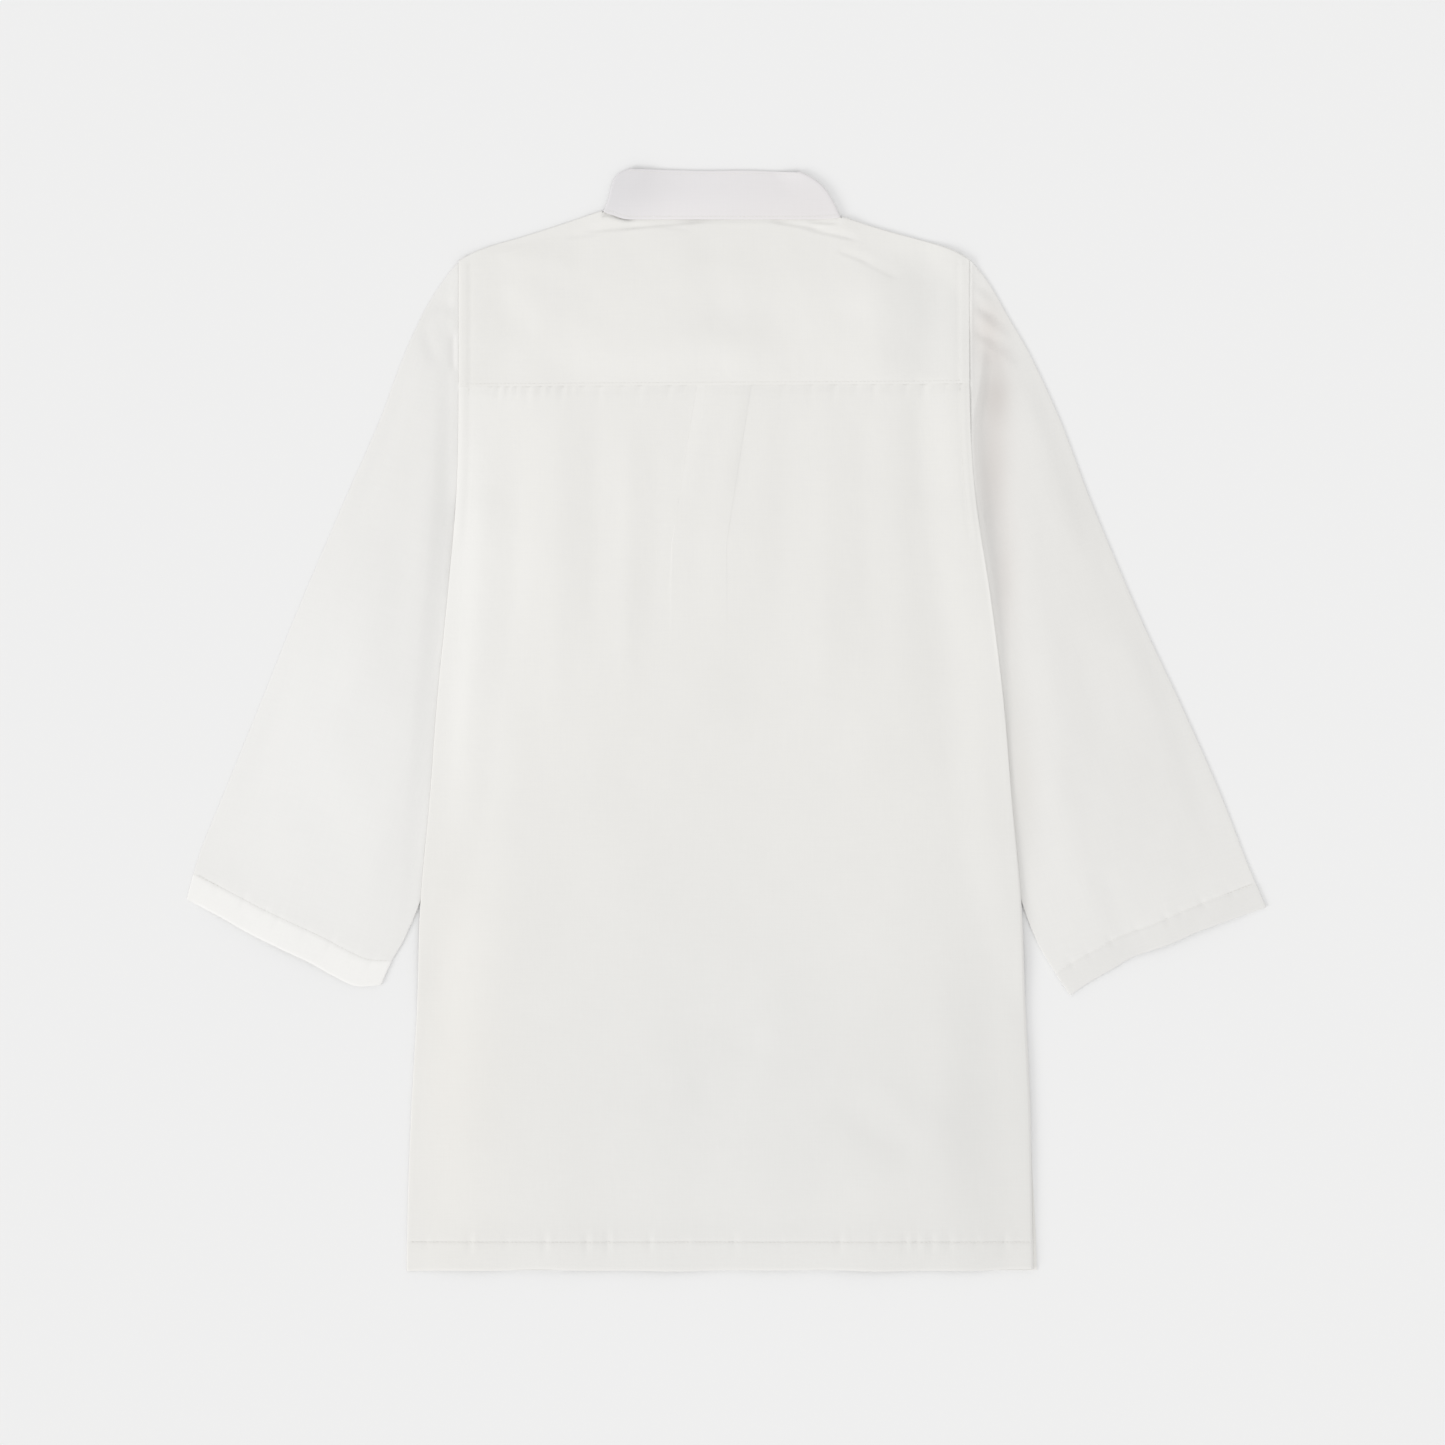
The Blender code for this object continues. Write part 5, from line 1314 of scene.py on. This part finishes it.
def sleeve_ring(side, walk):
    """One ring round the sleeve: lower layer, underarm fold, upper layer, outer fold; and its tone."""
    shares = sleeve_frame(side, walk)
    outer, outer_bulge = sleeve_fold(side, shares, "outer")
    inner, inner_bulge = sleeve_fold(side, shares, "inner")
    low = on_layer(side, shares, walk, np.linspace(0.0, 1.0, LOW_STEPS + 1))
    part = np.linspace(1.0, 0.0, HIGH_STEPS + 1)
    high = on_layer(side, shares, walk, part)
    rise = sleeve_rise(side, shares, walk, part, high[:, 0], high[:, 1])
    radius = fold_radius("outer", shares["outer"])
    from_outer = np.hypot(*(high - outer).T)
    apart = 2 * mix(radius, SLEEVE_FOLD, smooth(from_outer / OUTER_FOLD_RUN)) + rise
    in_hem = cuff_distance(side, walk) < CUFF_HEM
    nearest = (CUFF_CLOTH if in_hem else CLOTH) + LAYERS_APART
    over = apart - nearest
    apart = np.where(part > 0.0, nearest + (over + np.sqrt(over**2 + LAYERS_ROUNDING)) / 2, apart)
    sine = np.sin(SLEEVE_TURNS)[:, None]
    cosine = np.cos(SLEEVE_TURNS)
    ring = np.concatenate([grid_points(*places.T, level) for places, level in (
        (low, TABLE),
        (inner + inner_bulge * SLEEVE_FOLD * sine, TABLE + SLEEVE_FOLD * (1.0 - cosine)),
        (high, TABLE + apart),
        (outer + outer_bulge * radius * sine, TABLE + radius * (1.0 + cosine)),
    )])
    x, y, _ = ring.T
    tone = zones(SLEEVE_ZONES[side], x, y) + (CUFF_PAINTED_LIGHT_AND_SHADE[side] if in_hem else 0.0)
    return ring, tone + edge_painted_highlight(x, y) if side == "right" else tone


def build_sleeve(side):
    rings = [sleeve_ring(side, walk) for walk in SLEEVE_WALKS]
    grid, tone = [np.array(part) for part in zip(*rings)]
    if side == "left":
        grid, tone = grid[:, ::-1], tone[:, ::-1]
    thickness = thick_hem(grid, np.array(SLEEVE_WALKS) < CUFF_HEM, CUFF_CLOTH)
    return shell("sleeve_" + side + "_cloth", grid, thickness, loop=True, tone=tone)


# The collar band, folded flat at both sides of the neck

COLLAR_TURNS = np.radians(np.linspace(0.0, 180.0, 11)[1:-1])
COLLAR_FRONT_STEPS = 32
COLLAR_BACK_STEPS = 80
COLLAR_ROWS = [0.0, 0.012, 0.03, 0.055, 0.09, 0.14, 0.2, 0.28, 0.36, 0.44, 0.52, 0.6, 0.67, 0.74, 0.8,
               0.86, 0.91, 0.945, 0.97, 0.988, 1.0]
COLLAR_EDGE = 0.28
COLLAR_EDGE_IN = Ramp(0.0, 0.02)
COLLAR_GROOVE = Groove(0.16, 0.016)

# One line up the band: its foot and top, its level, and how much of each end's bow it has
CollarLine = namedtuple("CollarLine", "foot top level side bow")


def collar_front(side):
    """The lines of the band's front, from the fold at its side to the front centre."""
    outward = OUTWARD[side]
    curve = partial(bezier, front_neck(side))
    fold = COLLAR_FOLDS[side]
    slant = np.array((fold.top_x, fold.top_y)) - NECK[side]
    inset = (COLLAR_BACK_LEVEL - COLLAR_FRONT_LEVEL + COLLAR) / 2
    lines = []
    walked = 0.0
    for share in np.linspace(0.0, 1.0, COLLAR_FRONT_STEPS + 1):
        square = unit(to_the_right(heading(curve, share))) * outward
        turned = up(share, COLLAR_TURN)
        lean = unit(mix(unit(slant), square, turned))
        foot = curve(share) + lean * SEAM
        foot[0] -= outward * inset * (1.0 - share)
        if lines:
            walked += math.dist(foot, lines[-1].foot)
        top = foot + lean * mix(np.hypot(*slant), COLLAR_HEIGHT, turned)
        lines.append(CollarLine(foot, top, COLLAR_FRONT_LEVEL, side, down(walked, COLLAR_BOW_FADE)))
    return lines


def outward_of(line):
    """The way out from a line of the band, square to it."""
    return to_the_right(unit(line.top - line.foot)) * OUTWARD[line.side]


def collar_fold(near):
    """The lines round a fold of the band, from its front up to its back."""
    radius = (COLLAR_BACK_LEVEL - COLLAR_FRONT_LEVEL) / 2
    lines = []
    for turn in COLLAR_TURNS:
        push = outward_of(near) * radius * math.sin(turn)
        level = COLLAR_FRONT_LEVEL + radius * (1.0 - math.cos(turn))
        lines.append(CollarLine(near.foot + push, near.top + push, level, near.side, 1.0))
    return lines


def collar_back(left, right):
    """The lines of the band's back, from its left fold to its right fold."""
    lines = [CollarLine(left.foot, left.top, COLLAR_BACK_LEVEL, "left", 1.0)]
    width = right.foot[0] - left.foot[0]
    for share in np.linspace(0.0, 1.0, COLLAR_BACK_STEPS + 1)[1:-1]:
        rest = 1.0 - share
        side = "left" if share < 0.5 else "right"
        foot_x = mix(left.foot[0], right.foot[0], share)
        top_x = mix(left.top[0], right.top[0], share)
        foot = np.array((foot_x, back_neck(foot_x)))
        top = np.array((top_x, follow(COLLAR_TOP, "across", "height", top_x)))
        swell = groove(share, COLLAR_SWELL) + COLLAR_BULGE * math.sin(math.pi * share)
        swell = swell * min(1.0, COLLAR_BULGE_ENDS * share) * min(1.0, COLLAR_BULGE_ENDS * rest)
        bow = down(min(share, rest) * width, COLLAR_BOW_FADE)
        lines.append(CollarLine(foot, top, COLLAR_BACK_LEVEL + swell, side, bow))
    lines.append(CollarLine(right.foot, right.top, COLLAR_BACK_LEVEL, "right", 1.0))
    return lines


def collar_lines():
    left, right = [collar_front(side) for side in SIDES]
    lines = left[::-1] + collar_fold(left[0]) + collar_back(left[0], right[0])
    return lines + collar_fold(right[0])[::-1] + right


def collar_place(line, share, press):
    """A point up a line of the band, bowed out where the line is near a fold.

    The back layer sinks towards its top edge, where it isn't held up by a fold.
    """
    fold = COLLAR_FOLDS[line.side]
    bow = fold.bow * line.bow * math.sin(math.pi * share**fold.lean)
    x, y = mix(line.foot, line.top, share) + outward_of(line) * bow
    if line.level < COLLAR_MIDDLE_LEVEL:
        return x, y, max(line.level - press, COLLAR / 2)
    return x, y, line.level + press - COLLAR_SINK * (1.0 - line.bow) * up(share, COLLAR_SINK_UP)


def build_collar_band():
    lines = collar_lines()
    grid = []
    for share in COLLAR_ROWS:
        edge = min(share, 1.0 - share)
        press = -COLLAR_EDGE * down(edge, COLLAR_EDGE_IN) - groove(edge - COLLAR_STITCH, COLLAR_GROOVE)
        grid.append([collar_place(line, share, press) for line in lines])
    grid = np.array(grid)
    return shell("collar_band_cloth", grid, COLLAR, tone=zones(COLLAR_ZONES, grid[..., 0], grid[..., 1]))


# The neck opening, hidden under the shirt

PLACKET_ROWS = 132
PLACKET_COLUMNS = 17


def build_placket(name, level):
    x = FRONT_CENTRE + np.linspace(-PLACKET_WIDTH / 2, PLACKET_WIDTH / 2, PLACKET_COLUMNS)
    y = np.linspace(SLOT_FOOT + SEAM, FRONT_NECK, PLACKET_ROWS)[:, None]
    grid = grid_points(x, y, level + over_buttons(x, y, STRIP_BUMP, STRIP_BUMP_FADE))
    return shell(name + "_cloth", grid, CLOTH)


# Stitching

STITCH = 2.7
STITCH_PITCH = 3.3
THREAD_RADIUS = 0.19
THREAD_WIDE = 1.15
THREAD_HIGH = 0.8
THREAD_ARCH = 0.5
STITCH_RINGS = [(-0.5, 0.35), (-0.4, 0.8), (-0.15, 1.0), (0.15, 1.0), (0.4, 0.8), (0.5, 0.35)]
STITCH_SIDES = 6
YOKE_STITCH_X = np.linspace(-205.0, 193.0, 500)
HEM_STITCH_X = np.linspace(-249.0, 246.0, 600)
HEM_THREAD_UP = 0.2
ARMHOLE_STITCH_Y = {"back": np.linspace(UNDERARM - 10.0, YOKE_SEAM - 2.0, 200),
                    "yoke": np.linspace(YOKE_SEAM + 4.0, 802.0, 200)}
CUFF_STITCH_PARTS = np.linspace(0.015, 0.985, 200)
COLLAR_STITCH_ENDS = 3
COLLAR_THREAD_SINK = 0.12


def stitch_faces():
    """The faces of one stitch: a band between each two rings, and a cap at both ends."""
    faces = []
    for first in range(0, (len(STITCH_RINGS) - 1) * STITCH_SIDES, STITCH_SIDES):
        for n in range(STITCH_SIDES):
            a = first + n
            b = first + (n + 1) % STITCH_SIDES
            faces.append((a, b, b + STITCH_SIDES, a + STITCH_SIDES))
    last = (len(STITCH_RINGS) - 1) * STITCH_SIDES
    return faces + [tuple(reversed(range(STITCH_SIDES))), tuple(range(last, last + STITCH_SIDES))]


def stitches(name, path):
    """Short raised stitches of thread, end to end along a path of points on the cloth."""
    steps = np.linalg.norm(np.diff(path, axis=0), axis=1)
    walked = np.concatenate(([0.0], np.cumsum(steps)))
    middles = (np.arange(int(walked[-1] / STITCH_PITCH)) + 0.5) * STITCH_PITCH
    start, end = [np.stack([np.interp(middles + reach, walked, axis) for axis in path.T], -1)
                  for reach in (-STITCH / 2, STITCH / 2)]
    along = unit(end - start)
    side = unit(np.cross((0.0, 0.0, 1.0), along))
    above = np.cross(along, side)
    turns = math.tau * np.arange(STITCH_SIDES)[:, None] / STITCH_SIDES
    rings = []
    for reach, girth in STITCH_RINGS:
        arch = THREAD_ARCH * (0.5 - 2.0 * reach**2)
        spokes = side[:, None] * np.cos(turns) * THREAD_WIDE
        spokes = spokes + above[:, None] * (np.sin(turns) * THREAD_HIGH + arch)
        middle = (start + end) / 2 + along * reach * STITCH
        rings.append(middle[:, None] + spokes * THREAD_RADIUS * girth)
    points = np.stack(rings, 1).reshape(-1, 3)
    one = stitch_faces()
    firsts = range(0, len(points), len(STITCH_RINGS) * STITCH_SIDES)
    faces = [[first + corner for corner in face] for first in firsts for face in one]
    data = bpy.data.meshes.new(name)
    data.from_pydata(in_frame(points).tolist(), [], faces)
    data.shade_smooth()
    return new_object(name, data)


def armhole_stitches(part, surface, side):
    y = ARMHOLE_STITCH_Y[part]
    x = body_edge(side, y) - OUTWARD[side] * ARMHOLE_RIDGE_WIDTH
    name = "armhole_stitches_%s_%s" % (part, side)
    return stitches(name, grid_points(x, y, surface(x, y) + CLOTH / 2))


def cuff_stitches(side):
    shares = sleeve_frame(side, CUFF_HEM)
    x, y = on_layer(side, shares, CUFF_HEM, CUFF_STITCH_PARTS).T
    z = TABLE + 2 * SLEEVE_FOLD + sleeve_rise(side, shares, CUFF_HEM, CUFF_STITCH_PARTS, x, y) + CLOTH / 2
    return stitches("cuff_stitches_" + side, grid_points(x, y, z))


def collar_stitches(name, share):
    back = [line for line in collar_lines() if line.level > COLLAR_MIDDLE_LEVEL]
    press = COLLAR / 2 - COLLAR_THREAD_SINK
    stitched = back[COLLAR_STITCH_ENDS:-COLLAR_STITCH_ENDS]
    return stitches(name, np.array([collar_place(line, share, press) for line in stitched]))


def build_stitching():
    x, y = YOKE_STITCH_X, seam_height(YOKE_STITCH_X) + YOKE_STITCH
    pieces = [stitches("yoke_stitches", grid_points(x, y, yoke_surface(x, y) + CLOTH / 2))]
    x = HEM_STITCH_X
    z = back_surface(x, HEM) - seam_puckers(HEM_PUCKERS, x, 0.0) + HEM_THREAD_UP + CLOTH / 2
    pieces.append(stitches("hem_stitches", grid_points(x, HEM, z)))
    for side in SIDES:
        pieces.append(armhole_stitches("back", back_surface, side))
        pieces.append(armhole_stitches("yoke", yoke_surface, side))
        pieces.append(cuff_stitches(side))
    pieces.append(collar_stitches("collar_foot_stitches", COLLAR_STITCH))
    pieces.append(collar_stitches("collar_top_stitches", 1.0 - COLLAR_STITCH))
    return pieces


# The stage

PHOTO_PIXEL = 0.8
PHOTO_SIDE = 1445
PHOTO_CENTRE_LINE = 722.0
PHOTO_HEM = 1270.0
CAMERA_HEIGHT = 2.9
SENSOR = 36.0
LENS_REACH = 50.0
FLOOR_SIZE = 14.0
FLOOR_LEVEL = -0.0001
SKY_STRENGTH = 0.866
SUNLIGHT = (1.0, 0.995, 0.985)
LAMP_AWAY = 3.0

# A broad soft light: which way it stands, how strong it is, and how many degrees it is wide
Sun = namedtuple("Sun", "towards energy size")
SUNS = {
    "key": Sun(Vector((-0.85, -0.42, 0.37)), 1.05, 20.0),
    "fill": Sun(Vector((0.70, -0.45, 0.75)), 0.20, 60.0),
}


def build_stage():
    """A pale floor, soft light from the left, and a camera straight above the shirt."""
    bpy.ops.mesh.primitive_plane_add(size=FLOOR_SIZE, location=(0.0, 0.0, FLOOR_LEVEL))
    floor = bpy.context.object
    floor.name = "floor"
    floor.data.materials.append(floor_material())

    world = bpy.data.worlds.new("studio")
    world.use_nodes = True
    fill(world.node_tree.nodes["Background"], Color=(1.0, 1.0, 1.0, 1.0), Strength=SKY_STRENGTH)
    bpy.context.scene.world = world
    for name, sun in SUNS.items():
        light = bpy.data.lights.new(name, "SUN")
        light.energy = sun.energy
        light.angle = math.radians(sun.size)
        light.color = SUNLIGHT
        lamp = new_object(name, light)
        lamp.rotation_euler = sun.towards.to_track_quat("Z", "Y").to_euler()
        lamp.location = sun.towards * LAMP_AWAY

    lens = bpy.data.cameras.new("camera")
    lens.sensor_width = SENSOR
    lens.lens = SENSOR * CAMERA_HEIGHT / (PHOTO_SIDE * PHOTO_PIXEL * METRE)
    lens.clip_end = LENS_REACH
    camera = new_object("camera", lens)
    centre_x = (PHOTO_SIDE / 2 - PHOTO_CENTRE_LINE) * PHOTO_PIXEL
    centre_y = (PHOTO_HEM - PHOTO_SIDE / 2) * PHOTO_PIXEL
    x, y, _ = in_frame((centre_x, centre_y, 0.0))
    camera.location = (x, y, CAMERA_HEIGHT)
    bpy.context.scene.camera = camera
    bpy.context.scene.view_settings.view_transform = "Standard"


# The whole shirt

THREADS_ALONG = (0.1, 1.0)


def dress(piece, material, slot, *nodes):
    """Give a piece its finish, and let it ride and stand for its solids."""
    piece.data.materials.clear()
    piece.data.materials.append(material)
    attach(piece, "root")
    if nodes:
        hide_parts(*nodes)
    return piece


def sleeve_turn(side):
    """Which way a sleeve's threads run: along its middle line."""
    start, end = [(sleeve_line(side, "outer", share) + sleeve_line(side, "inner", share)) / 2
                  for share in THREADS_ALONG]
    return -math.atan2(end[0] - start[0], start[1] - end[1])


def main():
    build_stage()
    body_cotton = cotton("body_cotton", COTTON_WHITE)
    collar_cotton = cotton("collar_cotton", COLLAR_WHITE, weave=0.16, crinkle=0.12)
    thread = thread_material()
    plastic = button_material()
    back = dress(build_back_panel(), body_cotton, "cotton", "back_panel")
    yoke = dress(build_back_yoke(), body_cotton, "cotton", "back_yoke")
    front = dress(build_front_panel(), body_cotton, "cotton", "front_panel")
    for side in SIDES:
        sleeve_cotton = cotton("sleeve_cotton_" + side, SLEEVE_WHITE, turn=sleeve_turn(side))
        dress(build_sleeve(side), sleeve_cotton, "cotton", "sleeve_" + side)
    collar = dress(build_collar_band(), collar_cotton, "collar_cotton", "collar_band")
    outer = dress(build_placket("placket_outer", TABLE), body_cotton, "cotton", "placket_outer")
    under_level = TABLE + CLOTH + LAYER_GAP
    under = dress(build_placket("placket_under", under_level), body_cotton, "cotton", "placket_under")
    for number in (1, 2, 3):
        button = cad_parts["button_%d" % number]
        button.data.materials.clear()
        button.data.materials.append(plastic)
    for piece in build_stitching():
        dress(piece, thread, "cotton")


main()
bpy.context.view_layer.update()
